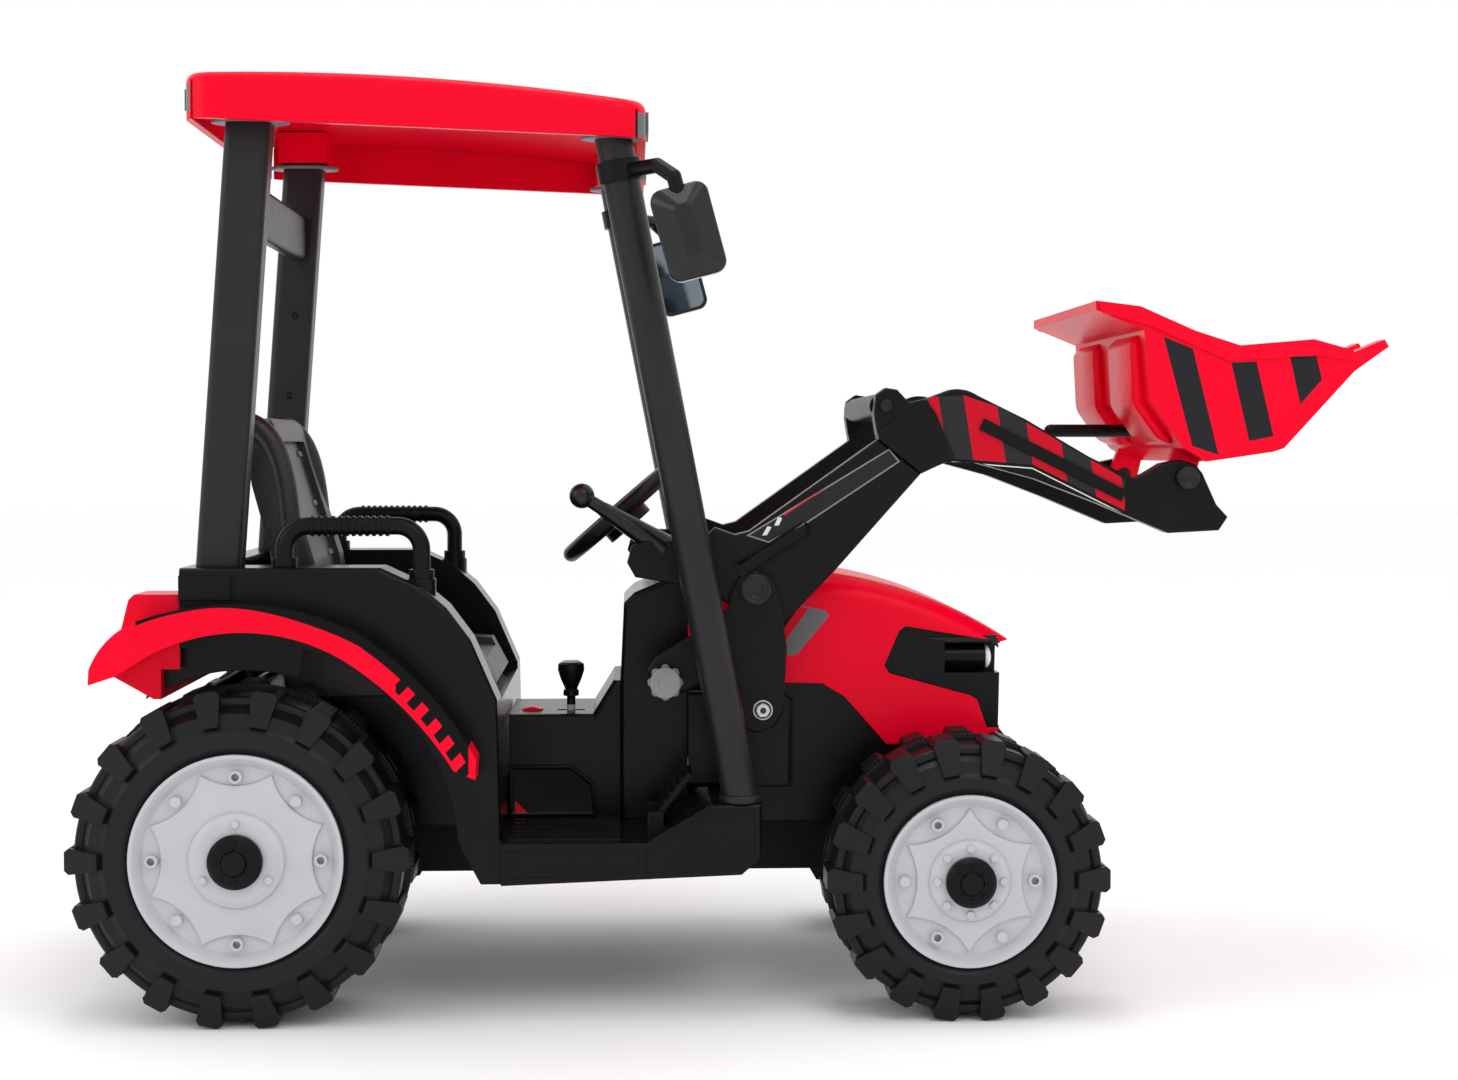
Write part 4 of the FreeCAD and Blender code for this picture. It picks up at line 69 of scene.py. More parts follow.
class TractorColours(bpy.types.PropertyGroup):
    """Colours of the mouldings and stickers."""
    red: colour("Red", "Moulded red of the hood, roof, fenders and bucket", (0.87, 0.0, 0.022))
    black: colour("Black", "Moulded black of the body, posts and loader", (0.0036, 0.0036, 0.0040))
    charcoal: colour("Charcoal", "Dark sticker film on the loader and bucket", (0.019, 0.019, 0.021))
    wheel: colour("Wheel", "Pale grey of the rims", (0.49, 0.49, 0.53))
    tread: colour("Tread", "Black of the tyres", (0.0048, 0.0048, 0.0052))
    grey: colour("Grey", "Mid grey of the lamps, knobs and vent sticker", (0.148, 0.148, 0.154))
    zinc: colour("Zinc", "Plated bolts and shafts", (0.55, 0.55, 0.53))
    # Line is the pale sticker print, and it also paints the highlight lines along the loader arm's and
    # forearm's films.
    line: colour("Line", "Pale outline on the stickers", (0.70, 0.70, 0.72))


class TractorTrim(bpy.types.PropertyGroup):
    """Sizes of the small trim and the finishes' detail."""
    screw: length("Screw", "Radius of a screw head", 0.0045)
    # The seat glint is a grey strip painted as the light reflected in the backrest's grooves.
    seat_glint: length("Seat tab", "Height of a grey tab on the backrest's middle panel", 0.007)
    grain: length("Grain", "Size of the black plastic's grain", 0.0011)
    edge: length("Edge", "Radius that softens a moulding's sharp edges", 0.0018)
    peel: length("Peel", "Size of the ripple on the glossy shells", 0.012)


class Value:
    """One shader socket, with arithmetic that adds Math nodes."""

    def __init__(self, finish, socket):
        self.finish = finish
        self.socket = socket

    def math(self, operation, *terms):
        return self.finish.node("ShaderNodeMath", {"operation": operation}, dict(enumerate(terms)))

    def __add__(self, other):
        return self.math("ADD", self, other)

    def __radd__(self, other):
        return self.math("ADD", other, self)

    def __sub__(self, other):
        return self.math("SUBTRACT", self, other)

    def __rsub__(self, other):
        return self.math("SUBTRACT", other, self)

    def __mul__(self, other):
        return self.math("MULTIPLY", self, other)

    def __rmul__(self, other):
        return self.math("MULTIPLY", other, self)

    def __abs__(self):
        return self.math("ABSOLUTE", self)

    def __gt__(self, other):
        return self.math("GREATER_THAN", self, other)

    def __lt__(self, other):
        return self.math("LESS_THAN", self, other)

    def root(self):
        return self.math("SQRT", self)

    def least(self, other):
        return self.math("MINIMUM", self, other)

    def most(self, other):
        return self.math("MAXIMUM", self, other)

    def between(self, low, high):
        """1 where the value lies between two limits."""
        return (self > low) * (self < high)

    def ramp(self, low, high):
        """0 below low, 1 above high, smooth between them."""
        return self.finish.node("ShaderNodeMapRange", {"interpolation_type": "SMOOTHSTEP"},
                                {"Value": self, "From Min": low, "From Max": high})


class Finish:
    """One procedural material on a piece's own coordinates."""

    def __init__(self, name):
        self.material = bpy.data.materials.new(name)
        self.material.use_nodes = True
        self.tree = self.material.node_tree
        self.shader = self.tree.nodes["Principled BSDF"]
        self.place = self.node("ShaderNodeTexCoord", output="Object")
        self.x = self.node("ShaderNodeSeparateXYZ", None, {0: self.place}, "X")
        self.y = self.node("ShaderNodeSeparateXYZ", None, {0: self.place}, "Y")
        self.z = self.node("ShaderNodeSeparateXYZ", None, {0: self.place}, "Z")

    def node(self, kind, settings=None, sockets=None, output=0):
        """A new node of a type with its settings and its sockets' values or links; gives one output."""
        made = self.tree.nodes.new(kind)
        for name, setting in (settings or {}).items():
            setattr(made, name, setting)
        for name, value in (sockets or {}).items():
            self.feed(made.inputs[name], value)
        return Value(self, made.outputs[output])

    def feed(self, socket, value):
        """Links a value to a socket, or sets it."""
        if isinstance(value, Value):
            self.tree.links.new(value.socket, socket)
        else:
            socket.default_value = value

    def set(self, **constants):
        """Sets sockets of the shader that are the same all over."""
        for name, value in constants.items():
            self.shader.inputs[name.replace("_", " ")].default_value = value

    def vary(self, name, value):
        """Links what changes over the surface to a socket of the shader."""
        self.feed(self.shader.inputs[name], value)

    def mix(self, factor, low, high):
        """A colour between two colours."""
        sockets = {MIX_FACTOR: factor, MIX_LOW: opaque(low), MIX_HIGH: opaque(high)}
        return self.node("ShaderNodeMix", {"data_type": "RGBA"}, sockets, MIX_RESULT)

    def noise(self, size, detail=2.0):
        """Noise with features of a given size in metres."""
        sockets = {"Vector": self.place, "Scale": 1.0 / size, "Detail": detail}
        return self.node("ShaderNodeTexNoise", None, sockets)

    def cells(self, size):
        """Distance to the nearest cell middle, for leather-like grain."""
        sockets = {"Vector": self.place, "Scale": 1.0 / size}
        return self.node("ShaderNodeTexVoronoi", None, sockets, "Distance")

    def clouded(self, low, high, size):
        """A base colour that wanders between two colours."""
        self.vary("Base Color", self.mix(self.noise(size), low, high))

    def rough(self, least, spread, size, detail=2.0):
        """Roughness that wanders up from its least value."""
        self.vary("Roughness", least + self.noise(size, detail) * spread)

    def bump(self, height, depth):
        """Bends the normal by a height from 0 to 1 over a depth in metres, with sharp edges softened."""
        radius = bpy.context.scene.tractor_trim.edge
        edges = self.node("ShaderNodeBevel", {"samples": EDGE_SAMPLES}, {"Radius": radius})
        bent = {"Strength": 1.0, "Distance": depth, "Height": height, "Normal": edges}
        self.vary("Normal", self.node("ShaderNodeBump", None, bent))

    def side(self):
        """1 on the faces that look left or right, 0 on those that look at the tractor's middle."""
        normal = self.node("ShaderNodeNewGeometry", output="True Normal")
        across = self.node("ShaderNodeSeparateXYZ", None, {0: normal}, "Y")
        return across * self.y.math("SIGN", self.y) > FACES_OUT

    def below(self, start, end):
        """How far a point lies to the right of a line in side view, as seen from the rider's right."""
        (x0, z0), (x1, z1) = start, end
        run = math.hypot(x1 - x0, z1 - z0)
        nx, nz = (z1 - z0) / run, -(x1 - x0) / run
        return self.x * nx + self.z * nz - (x0 * nx + z0 * nz)

    def inside(self, corners):
        """How deep a point lies in a convex outline of (x, z) corners, clockwise in side view."""
        depth = None
        for start, end in zip(corners, corners[1:] + corners[:1]):
            edge = self.below(start, end)
            depth = edge if depth is None else depth.least(edge)
        return depth

    def radius(self, x, z):
        """Distance in side view from a point."""
        dx = self.x - x
        dz = self.z - z
        return (dx * dx + dz * dz).root()


def opaque(value):
    """A colour with alpha, or a link as it is."""
    return value if isinstance(value, Value) else tuple(value) + (1.0,)


def dress(finish, *names):
    """Puts a finish on nodes of the frame."""
    for name in names:
        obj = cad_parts[name]
        for slot in obj.material_slots:
            slot.material = finish.material


def both(name):
    """The right and left nodes of a name."""
    return name + "_right", name + "_left"


def scaled(tint, factor):
    """A colour made lighter or darker."""
    return tuple(channel * factor for channel in tint)


def glossy_shell(name, tint, marks=None):
    """Moulded shell with a soft gloss: a faint cloud in its colour, a slow ripple and fine scuffs."""
    finish = Finish(name)
    cloud = finish.noise(size=0.22).ramp(0.35, 0.65)
    base = finish.mix(cloud, scaled(tint, 0.93), tint)
    if marks:
        base = marks(finish, base)
    finish.vary("Base Color", base)
    finish.rough(least=0.24, spread=0.12, size=0.006, detail=4.0)
    finish.bump(finish.noise(bpy.context.scene.tractor_trim.peel), depth=0.0007)
    finish.set(Specular_IOR_Level=0.07, Coat_Weight=0.03, Coat_Roughness=0.1)
    return finish


def grained(name, tint, gloss, marks=None, shine=0.14):
    """Moulded plastic with a fine grain; gloss is its roughness, shine its reflection seen straight on."""
    finish = Finish(name)
    grain = finish.noise(bpy.context.scene.tractor_trim.grain, detail=3.0)
    cloud = finish.noise(size=0.09).ramp(0.3, 0.7)
    base = finish.mix(cloud, scaled(tint, 0.85), scaled(tint, 1.12))
    if marks:
        base = marks(finish, base)
    finish.vary("Base Color", base)
    finish.rough(least=gloss - 0.05, spread=0.1, size=0.015, detail=3.0)
    finish.bump(grain, depth=0.00018)
    finish.set(Specular_IOR_Level=shine)
    return finish


def plated(name, tint, gloss):
    """Zinc or black plating with a fine grain and stains."""
    finish = Finish(name)
    stain = finish.noise(size=0.008, detail=4.0).ramp(0.35, 0.75)
    finish.vary("Base Color", finish.mix(stain, tint, scaled(tint, 0.75)))
    finish.vary("Roughness", gloss + stain * 0.12)
    finish.bump(finish.noise(size=0.0009), depth=0.00008)
    finish.set(Metallic=1.0)
    return finish


def tyre_rubber(name, tint, centre, ring):
    """Moulded tyre: grain, a ring groove on the sidewall and paler worn lug tips."""
    finish = Finish(name)
    reach = finish.radius(*centre)
    groove = abs(reach - ring) < 0.0012
    worn = reach.ramp(ring + 0.033, ring + 0.042) * finish.noise(size=0.012, detail=4.0)
    finish.vary("Base Color", finish.mix(worn * 0.6, tint, scaled(tint, 1.9)))
    finish.vary("Roughness", 0.30 + finish.noise(size=0.02, detail=3.0) * 0.12 + worn * 0.15)
    finish.bump(finish.noise(size=0.002, detail=3.0) * 0.4 - groove, depth=0.0006)
    finish.set(Specular_IOR_Level=0.23)
    return finish


# Outlines on the sides, as (x, z) corners in metres.
BUCKET_STRIPES = (
    ((0.4677, 0.7405), (0.5007, 0.7273), (0.5304, 0.6095), (0.5007, 0.6194)),
    ((0.5437, 0.7119), (0.5723, 0.7130), (0.5921, 0.6304), (0.5646, 0.6249)),
    ((0.6097, 0.7185), (0.6395, 0.7196), (0.6461, 0.6932), (0.6218, 0.6657)),
)
BUCKET_CHEEK = 0.184


def bucket_stripes(finish, base):
    """Three dark film stripes on each side of the bucket."""
    depth = None
    for corners in BUCKET_STRIPES:
        inside = finish.inside(corners)
        depth = inside if depth is None else depth.most(inside)
    film = (depth > 0.0) * finish.side() * (abs(finish.y) > BUCKET_CHEEK)
    return finish.mix(film, base, bpy.context.scene.tractor_colours.charcoal)


# Edges of the forearm's film: lines that it lies under, lines that it lies over, and its front and rear ends.
FOREARM_TOP = (
    ((0.2184, 0.6742), (0.2482, 0.6754)),
    ((0.2482, 0.6754), (0.2851, 0.6627)),
    ((0.3158, 0.6463), (0.4283, 0.5821)),
)
FOREARM_REAR_EDGE = ((0.3252, 0.5985), (0.2339, 0.6058))
FOREARM_FRONT_EDGE = ((0.4243, 0.5493), (0.3252, 0.5985))
FOREARM_FRONT = 0.4283
FOREARM_HEEL = ((0.2120, 0.6300), (0.2050, 0.6800))
# The painted highlight line along the film's lower edge: its rear end, its drop below the edge and its half
# width.
HIGHLIGHT_LINE_REAR = 0.2339
HIGHLIGHT_LINE_DROP = 0.004
HIGHLIGHT_LINE_HALF = 0.0006
FOREARM_SKIN = 0.1815

# Where red begins and ends along the forearm, on a line that leans with the stripes.
STRIPE_LEAN = 0.16
FIRST_RED_END = 0.3263
FOREARM_REDS = ((0.3547, 0.3906), (0.4205, 0.4560), (0.4863, 0.5176))


def forearm_stripes(finish, base):
    """Red and charcoal slanted stripes on the forearm, with a pale painted highlight line along the lower
    edge.
    """
    colours = bpy.context.scene.tractor_colours
    low = finish.below(*FOREARM_REAR_EDGE).most(finish.below(*FOREARM_FRONT_EDGE))
    depth = low.least(FOREARM_FRONT - finish.x)
    for line in FOREARM_TOP:
        depth = depth.least(finish.below(*line))
    slant = finish.x + finish.z * STRIPE_LEAN
    red = slant < FIRST_RED_END
    for begin, end in FOREARM_REDS:
        red = red.most(slant.between(begin, end))
    outside = finish.side()
    film = (depth > 0.0) * outside * (abs(finish.y) < FOREARM_SKIN)
    film = film * (finish.below(*FOREARM_HEEL) > 0.0)
    # A pale painted highlight line along the film's lower edge, on the outer faces.
    highlight_line = (abs(low + HIGHLIGHT_LINE_DROP) < HIGHLIGHT_LINE_HALF) * outside
    highlight_line = highlight_line * finish.x.between(HIGHLIGHT_LINE_REAR, FOREARM_FRONT)
    painted = finish.mix(red, scaled(colours.charcoal, 1.1), scaled(colours.red, 0.62))
    return finish.mix(highlight_line, finish.mix(film, base, painted), colours.line)


ARM_FILM = ((0.0049, 0.5201), (0.1640, 0.6165), (0.1760, 0.6020), (0.0746, 0.5350), (0.0300, 0.5120))
ARM_FLASHES = (
    ((0.0286, 0.5305), (0.0331, 0.5296), (0.0281, 0.5207), (0.0227, 0.5201)),
    ((0.0405, 0.5409), (0.0449, 0.5394), (0.0414, 0.5314), (0.0361, 0.5311)),
)
ARM_STREAK = ((0.0465, 0.5436), (0.0909, 0.5724), (0.0912, 0.5716), (0.0478, 0.5424))
# Half the width of the painted highlight line just inside the film's edges.
ARM_HIGHLIGHT_HALF = 0.0008


def arm_sticker(finish, base):
    """A charcoal film along the arm with a painted highlight line along its edges, two small flashes and a
    thin red line.
    """
    colours = bpy.context.scene.tractor_colours
    panel = finish.inside(ARM_FILM)
    outside = finish.side()
    film = (panel > 0.0) * outside
    # A painted highlight line just inside the film's edges, on the outer faces.
    edge = (abs(panel - ARM_HIGHLIGHT_HALF) < ARM_HIGHLIGHT_HALF) * outside
    first, second = ARM_FLASHES
    flash = finish.inside(first).most(finish.inside(second)) > 0.0
    streak = finish.inside(ARM_STREAK) > 0.0
    base = finish.mix(film, base, scaled(colours.charcoal, 0.9))
    # The painted highlight line takes the Line colour, dimmed.
    base = finish.mix(edge, base, scaled(colours.line, 0.3))
    base = finish.mix(flash * outside, base, colours.line)
    return finish.mix(streak * outside, base, scaled(colours.red, 0.75))


# The fender's upper edge is two arcs: (x, z) of the middle, then the radius.
FENDER_MIDDLE = (-0.5384, 0.1727)
FENDER_RADIUS = 0.281
FENDER_FRONT_MIDDLE = (-0.6175, 0.1075)
FENDER_FRONT_RADIUS = 0.378
FENDER_JOIN = -0.405
BAND_REAR = -0.640
BAND_FRONT = -0.294
BAND_LIP = 0.010
BAND_LEAST = 0.003
BAND_GROWTH = 0.008
BAND_GROWS = (-0.570, -0.440)
TEETH_REAR = -0.370
TEETH_DEPTH = 0.024
TOOTH = 0.0110
DIAGONAL = 0.7071


def fender_band(finish, base):
    """The black film along the fender's upper edge, with a comb of teeth at its front end."""
    colours = bpy.context.scene.tractor_colours
    crown = FENDER_RADIUS - finish.radius(*FENDER_MIDDLE)
    front = FENDER_FRONT_RADIUS - finish.radius(*FENDER_FRONT_MIDDLE)
    ahead = finish.x > FENDER_JOIN
    depth = crown + (front - crown) * ahead
    reach = finish.x.ramp(*BAND_GROWS) * BAND_GROWTH + BAND_LEAST
    along = (finish.x - finish.z) * DIAGONAL
    tooth = along.math("PINGPONG", along, TOOTH) > TOOTH / 2
    notch = (finish.x > TEETH_REAR) * (depth < TEETH_DEPTH) * tooth
    film = (depth > -BAND_LIP) * (depth < reach).most(notch) * finish.x.between(BAND_REAR, BAND_FRONT)
    return finish.mix(film, base, scaled(colours.black, 1.2))


REAR_LAMP_FRONT = -0.586
REAR_LAMP_HEIGHTS = (0.972, 1.001)
FRONT_LAMP_REAR = -0.117
FRONT_LAMP_HEIGHTS = (0.947, 0.973)
LAMP_INNER = 0.237


def corner_lamps(finish, base):
    """Grey lamp covers that run round the roof's four corners."""
    rear = (finish.x < REAR_LAMP_FRONT) * finish.z.between(*REAR_LAMP_HEIGHTS)
    front = (finish.x > FRONT_LAMP_REAR) * finish.z.between(*FRONT_LAMP_HEIGHTS)
    lamp = rear.most(front) * (abs(finish.y) > LAMP_INNER)
    return finish.mix(lamp, base, bpy.context.scene.tractor_colours.grey)


VENT = ((0.0700, 0.4380), (0.0980, 0.4325), (0.1027, 0.4261), (0.0657, 0.3818), (0.0350, 0.3806))
VENT_SLASH = ((0.0620, 0.4380), (0.0794, 0.4350), (0.0520, 0.3964), (0.0300, 0.3964))
VENT_SHADE = ((0.0500, 0.4380), (0.0690, 0.4370), (0.0480, 0.4080), (0.0300, 0.4080))
HOOD_SKIN = 0.112


def hood_vent(finish, base):
    """A grey vent film with a red and black slash, high on each side of the hood."""
    colours = bpy.context.scene.tractor_colours
    side = finish.side() * (abs(finish.y) > HOOD_SKIN)
    layers = ((VENT, colours.grey), (VENT_SLASH, scaled(colours.red, 0.8)), (VENT_SHADE, colours.black))
    for corners, tint in layers:
        base = finish.mix((finish.inside(corners) > 0.0) * side, base, tint)
    return base


BADGE = ((-0.2560, 0.2120), (-0.2410, 0.1970), (-0.2560, 0.1970))
BADGE_PLACE = (0.088, 0.091)


def console_badge(finish, base):
    """A small red corner on the console's bare side panel."""
    colours = bpy.context.scene.tractor_colours
    corner = finish.inside(BADGE) > 0.0
    panel = finish.side() * abs(finish.y).between(*BADGE_PLACE)
    return finish.mix(corner * panel, base, scaled(colours.red, 0.7))


KNOB_CAP_FOOT = 0.3672
KNOB_COLLAR_TOP = 0.3175
SILVER = (0.42, 0.42, 0.43)


def lever_top(finish, base):
    """Silver cap and bright collar of the gear lever."""
    cap = finish.z > KNOB_CAP_FOOT
    collar = finish.z < KNOB_COLLAR_TOP
    return finish.mix(cap.most(collar), base, SILVER)


SEAT_BROWN = (0.042, 0.036, 0.033)
SEAT_PANEL_EDGE = (0.082, 0.085)


def seat_panel(finish, base):
    """The seat's recessed middle is a warmer, paler brown than its bolsters."""
    middle = 1 - abs(finish.y).ramp(*SEAT_PANEL_EDGE)
    return finish.mix(middle, base, SEAT_BROWN)


SMOOTH_ANGLE = math.radians(32)
QUARTER_TURN = math.radians(90)
LOOKS_ALONG = 0.9


def start():
    """Nothing selected and object mode, before a new piece."""
    if bpy.context.object and bpy.context.object.mode != "OBJECT":
        bpy.ops.object.mode_set(mode="OBJECT")
    bpy.ops.object.select_all(action="DESELECT")


def pick(test):
    """Selects the faces of the active mesh that pass a test, in edit mode."""
    bpy.ops.object.mode_set(mode="OBJECT")
    mesh = bpy.context.object.data
    for item in list(mesh.vertices) + list(mesh.edges):
        item.select = False
    for face in mesh.polygons:
        face.select = test(face)
    bpy.ops.object.mode_set(mode="EDIT")


def stepped(*steps):
    """Insets the picked faces step by step; each step is its width and its rise."""
    for width, rise in steps:
        bpy.ops.mesh.inset(thickness=width, depth=rise)
    bpy.ops.object.mode_set(mode="OBJECT")


def outward():
    """Turns the active mesh's faces outwards."""
    bpy.ops.object.mode_set(mode="EDIT")
    bpy.ops.mesh.select_all(action="SELECT")
    bpy.ops.mesh.normals_make_consistent(inside=False)
    bpy.ops.object.mode_set(mode="OBJECT")


def rounded(width, segments=2):
    """Bevels the active piece's sharp edges and applies it."""
    bevel = bpy.context.object.modifiers.new("Round", "BEVEL")
    bevel.width = width
    bevel.segments = segments
    bevel.limit_method = "ANGLE"
    bpy.ops.object.modifier_apply(modifier=bevel.name)


def walled(thickness):
    """Gives the active sheet a wall on its inner side and applies it."""
    wall = bpy.context.object.modifiers.new("Wall", "SOLIDIFY")
    wall.thickness = thickness
    wall.offset = -1.0
    bpy.ops.object.modifier_apply(modifier=wall.name)


def settle(name, body, finish):
    """Fixes the active piece's place in its mesh, names and finishes it, and ties it to its body."""
    if bpy.context.object.mode != "OBJECT":
        bpy.ops.object.mode_set(mode="OBJECT")
    bpy.ops.object.transform_apply(location=True, rotation=True, scale=True)
    bpy.ops.object.shade_smooth_by_angle(angle=SMOOTH_ANGLE)
    piece = bpy.context.object
    piece.name = name
    piece.data.name = name
    piece.data.materials.clear()
    piece.data.materials.append(finish.material)
    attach(piece, body)
    return piece


def copied(piece, name, body, place):
    """A copy of a piece with its own mesh, each point put through place."""
    twin = piece.copy()
    twin.data = piece.data.copy()
    twin.name = name
    twin.data.name = name
    bpy.context.collection.objects.link(twin)
    for vertex in twin.data.vertices:
        vertex.co = place(vertex.co.copy())
    start()
    twin.select_set(True)
    bpy.context.view_layer.objects.active = twin
    outward()
    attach(twin, body)
    return twin


def mirrored(point):
    """The same place on the other side of the tractor."""
    return Vector((point.x, -point.y, point.z))


def pair(name, body, finish, sides=("right", "left")):
    """Settles the active piece on one side and puts its mirror image on the other; {} stands for the side."""
    made, other = sides
    piece = settle(name.format(made), body.format(made), finish)
    copied(piece, name.format(other), body.format(other), mirrored)


def screw_head(at, facing, radius):
    """A round screw head with a sunk middle, facing left or right."""
    start()
    bpy.ops.mesh.primitive_cylinder_add(vertices=24, radius=radius, depth=0.003, location=at,
                                        rotation=(QUARTER_TURN * facing, 0, 0))
    pick(lambda face: face.normal.z > LOOKS_ALONG)
    stepped((radius * 0.28, radius * 0.16), (radius * 0.32, 0), (radius * 0.06, -radius * 0.3))
    rounded(radius * 0.05, 1)


def ringed_cap(at, radius):
    """A round cap on the rider's right with a raised ring round a sunk middle."""
    start()
    bpy.ops.mesh.primitive_cylinder_add(vertices=48, radius=radius, depth=0.004, location=at,
                                        rotation=(QUARTER_TURN, 0, 0))
    pick(lambda face: face.normal.z > LOOKS_ALONG)
    stepped((radius * 0.16, 0.0008), (radius * 0.10, -0.0012), (radius * 0.20, 0), (radius * 0.08, -0.0010))
    rounded(0.0003, 1)


def sized(size, edge):
    """Scales the active piece to its size, then softens its edges."""
    bpy.context.object.scale = size
    bpy.ops.object.transform_apply(location=False, rotation=False, scale=True)
    rounded(edge)


def slab(size, at, edge):
    """A block with soft edges."""
    start()
    bpy.ops.mesh.primitive_cube_add(size=1, location=at)
    sized(size, edge)


def oval(size, at, edge):
    """A level oval disc with soft edges."""
    start()
    bpy.ops.mesh.primitive_cylinder_add(vertices=64, radius=0.5, depth=1, location=at)
    sized(size, edge)


def shaped_block(corners, inner, outer):
    """A block with an outline of (x, z) corners in side view, from one side-to-side place to another."""
    start()
    count = len(corners)
    bpy.ops.mesh.primitive_cylinder_add(vertices=count, radius=1, depth=2)
    for vertex in bpy.context.object.data.vertices:
        turn = round(math.atan2(-vertex.co.x, vertex.co.y) / math.tau * count) % count
        x, z = corners[turn]
        vertex.co = (x, outer if vertex.co.z > 0 else inner, z)
    outward()


def framed_panel(corners, inner, outer, rim, drop):
    """A plate on the rider's right whose outer face is sunk inside a rim."""
    shaped_block(corners, -inner, -outer)
    pick(lambda face: face.normal.y < -LOOKS_ALONG)
    stepped((rim, 0), (drop, -drop))
    rounded(drop * 0.4)


class TRACTOR_OT_shells(bpy.types.Operator):
    """Gloss red on the hood, roof, fenders and tail, with their stickers"""
    bl_idname = "tractor.shells"
    bl_label = "Red shells"

    def execute(self, context):
        red = tuple(context.scene.tractor_colours.red)
        dress(glossy_shell("shell red", red), "tail_panel", "power_switch")
        dress(glossy_shell("roof red", red, corner_lamps), "roof")
        dress(glossy_shell("fender red", red, fender_band), *both("fender"))
        dress(glossy_shell("hood red", red, hood_vent), "hood")
        return {"FINISHED"}


# Framed panels: name, outline, then where the back and the face lie from the tractor's middle.
CONSOLE = ((-0.2625, 0.1945), (-0.1630, 0.1945), (-0.1660, 0.2320), (-0.1920, 0.2525), (-0.2625, 0.2525))
SILL_REAR = ((-0.2570, 0.1550), (-0.1150, 0.1595), (-0.1150, 0.1840), (-0.2570, 0.1840))
SILL_FRONT = ((-0.1070, 0.1600), (-0.0060, 0.1650), (0.0100, 0.1805), (0.0100, 0.2250), (-0.0380, 0.2250),
              (-0.1070, 0.1835))
PANELS = (
    ("console_panel_{}", CONSOLE, 0.0855, 0.0915),
    ("sill_panel_rear_{}", SILL_REAR, 0.2605, 0.2634),
    ("sill_panel_front_{}", SILL_FRONT, 0.2605, 0.2634),
)
PANEL_RIM = 0.0025
PANEL_DROP = 0.0013

# The arch liner lies between an arc under the fender and an arc over the tyre.
LINER_TOP_RADIUS = 0.2755
LINER_TOP_TURNS = range(108, 74, -3)
LINER_LOW_MIDDLE = (-0.5400, 0.1870)
LINER_LOW_RADIUS = 0.1910
LINER_LOW_TURNS = range(72, 124, 3)
LINER_WALL = (-0.231, -0.235)

VISOR = ((0.2065, 0.4005), (0.2960, 0.4035), (0.2985, 0.3880), (0.2890, 0.3950), (0.2420, 0.3940))
VISOR_WALL = (-0.106, -0.1148)

POST_FOOT = (-0.0038, -0.238, 0.2370)
COLLAR_RADIUS = 0.0240
COLLAR_HEIGHT = 0.009

LENS_TINTS = ((0.62, 0.70, 0.80), (0.82, 0.87, 0.93))


def arc(middle, radius, turns):
    """Points round a middle in side view, at angles in degrees."""
    x, z = middle
    angles = [math.radians(turn) for turn in turns]
    return [(x + radius * math.cos(angle), z + radius * math.sin(angle)) for angle in angles]


class TRACTOR_OT_mouldings(bpy.types.Operator):
    """Black body, floor, dash, posts and running gear"""
    bl_idname = "tractor.mouldings"
    bl_label = "Black mouldings"

    def execute(self, context):
        colours = context.scene.tractor_colours
        black = tuple(colours.black)
        body = grained("body black", black, 0.20)
        dress(body, "rear_body", "front_body", "dash_tower", "grille")
        self.liners(body)
        floor = grained("floor black", black, 0.26, console_badge)
        dress(floor, "floor_pan")
        self.panels(floor)
        post = grained("post black", scaled(black, 3.0), 0.36, shine=0.28)
        dress(post, "rear_posts", "rear_crossbar", *both("front_post"))
        self.collars(post)
        chassis = grained("chassis black", scaled(black, 0.8), 0.5)
        dress(chassis, "chassis_frame", "rear_gearboxes", "front_axle_beam", "battery", *both("knuckle"))
        dress(plated("zinc plate", tuple(colours.zinc), 0.28), "rear_axle", "tie_rod", "steering_column")
        lens = Finish("lamp lens")
        lens.clouded(*LENS_TINTS, size=0.01)
        lens.rough(least=0.08, spread=0.08, size=0.004)
        dress(lens, "headlamp_lenses")
        self.brows(grained("brow black", scaled(black, 2.0), 0.22, shine=0.24))
        return {"FINISHED"}

    def panels(self, finish):
        """The console's framed side panel and the two long panels of each sill."""
        for name, corners, inner, outer in PANELS:
            framed_panel(corners, inner, outer, PANEL_RIM, PANEL_DROP)
            pair(name, "tractor", finish)

    def liners(self, finish):
        """The dark wall inside each fender, above the tyre."""
        top = arc(FENDER_MIDDLE, LINER_TOP_RADIUS, LINER_TOP_TURNS)
        low = arc(LINER_LOW_MIDDLE, LINER_LOW_RADIUS, LINER_LOW_TURNS)
        shaped_block(top + low, *LINER_WALL)
        pair("arch_liner_{}", "tractor", finish)

    def brows(self, finish):
        """A dark visor over each headlamp."""
        shaped_block(VISOR, *VISOR_WALL)
        rounded(0.0012)
        pair("lamp_brow_{}", "tractor", finish)

    def collars(self, finish):
        """A ring at the foot of each front post."""
        start()
        bpy.ops.mesh.primitive_cylinder_add(vertices=48, radius=COLLAR_RADIUS, depth=COLLAR_HEIGHT,
                                            location=POST_FOOT)
        rounded(0.0025, 3)
        pair("post_collar_{}", "tractor", finish)


# Each end's wheels: the radius of the ring groove on the sidewall, and the teeth on the traction band.
WHEELS = (("rear", 0.1395, 108), ("front", 0.1120, 92))


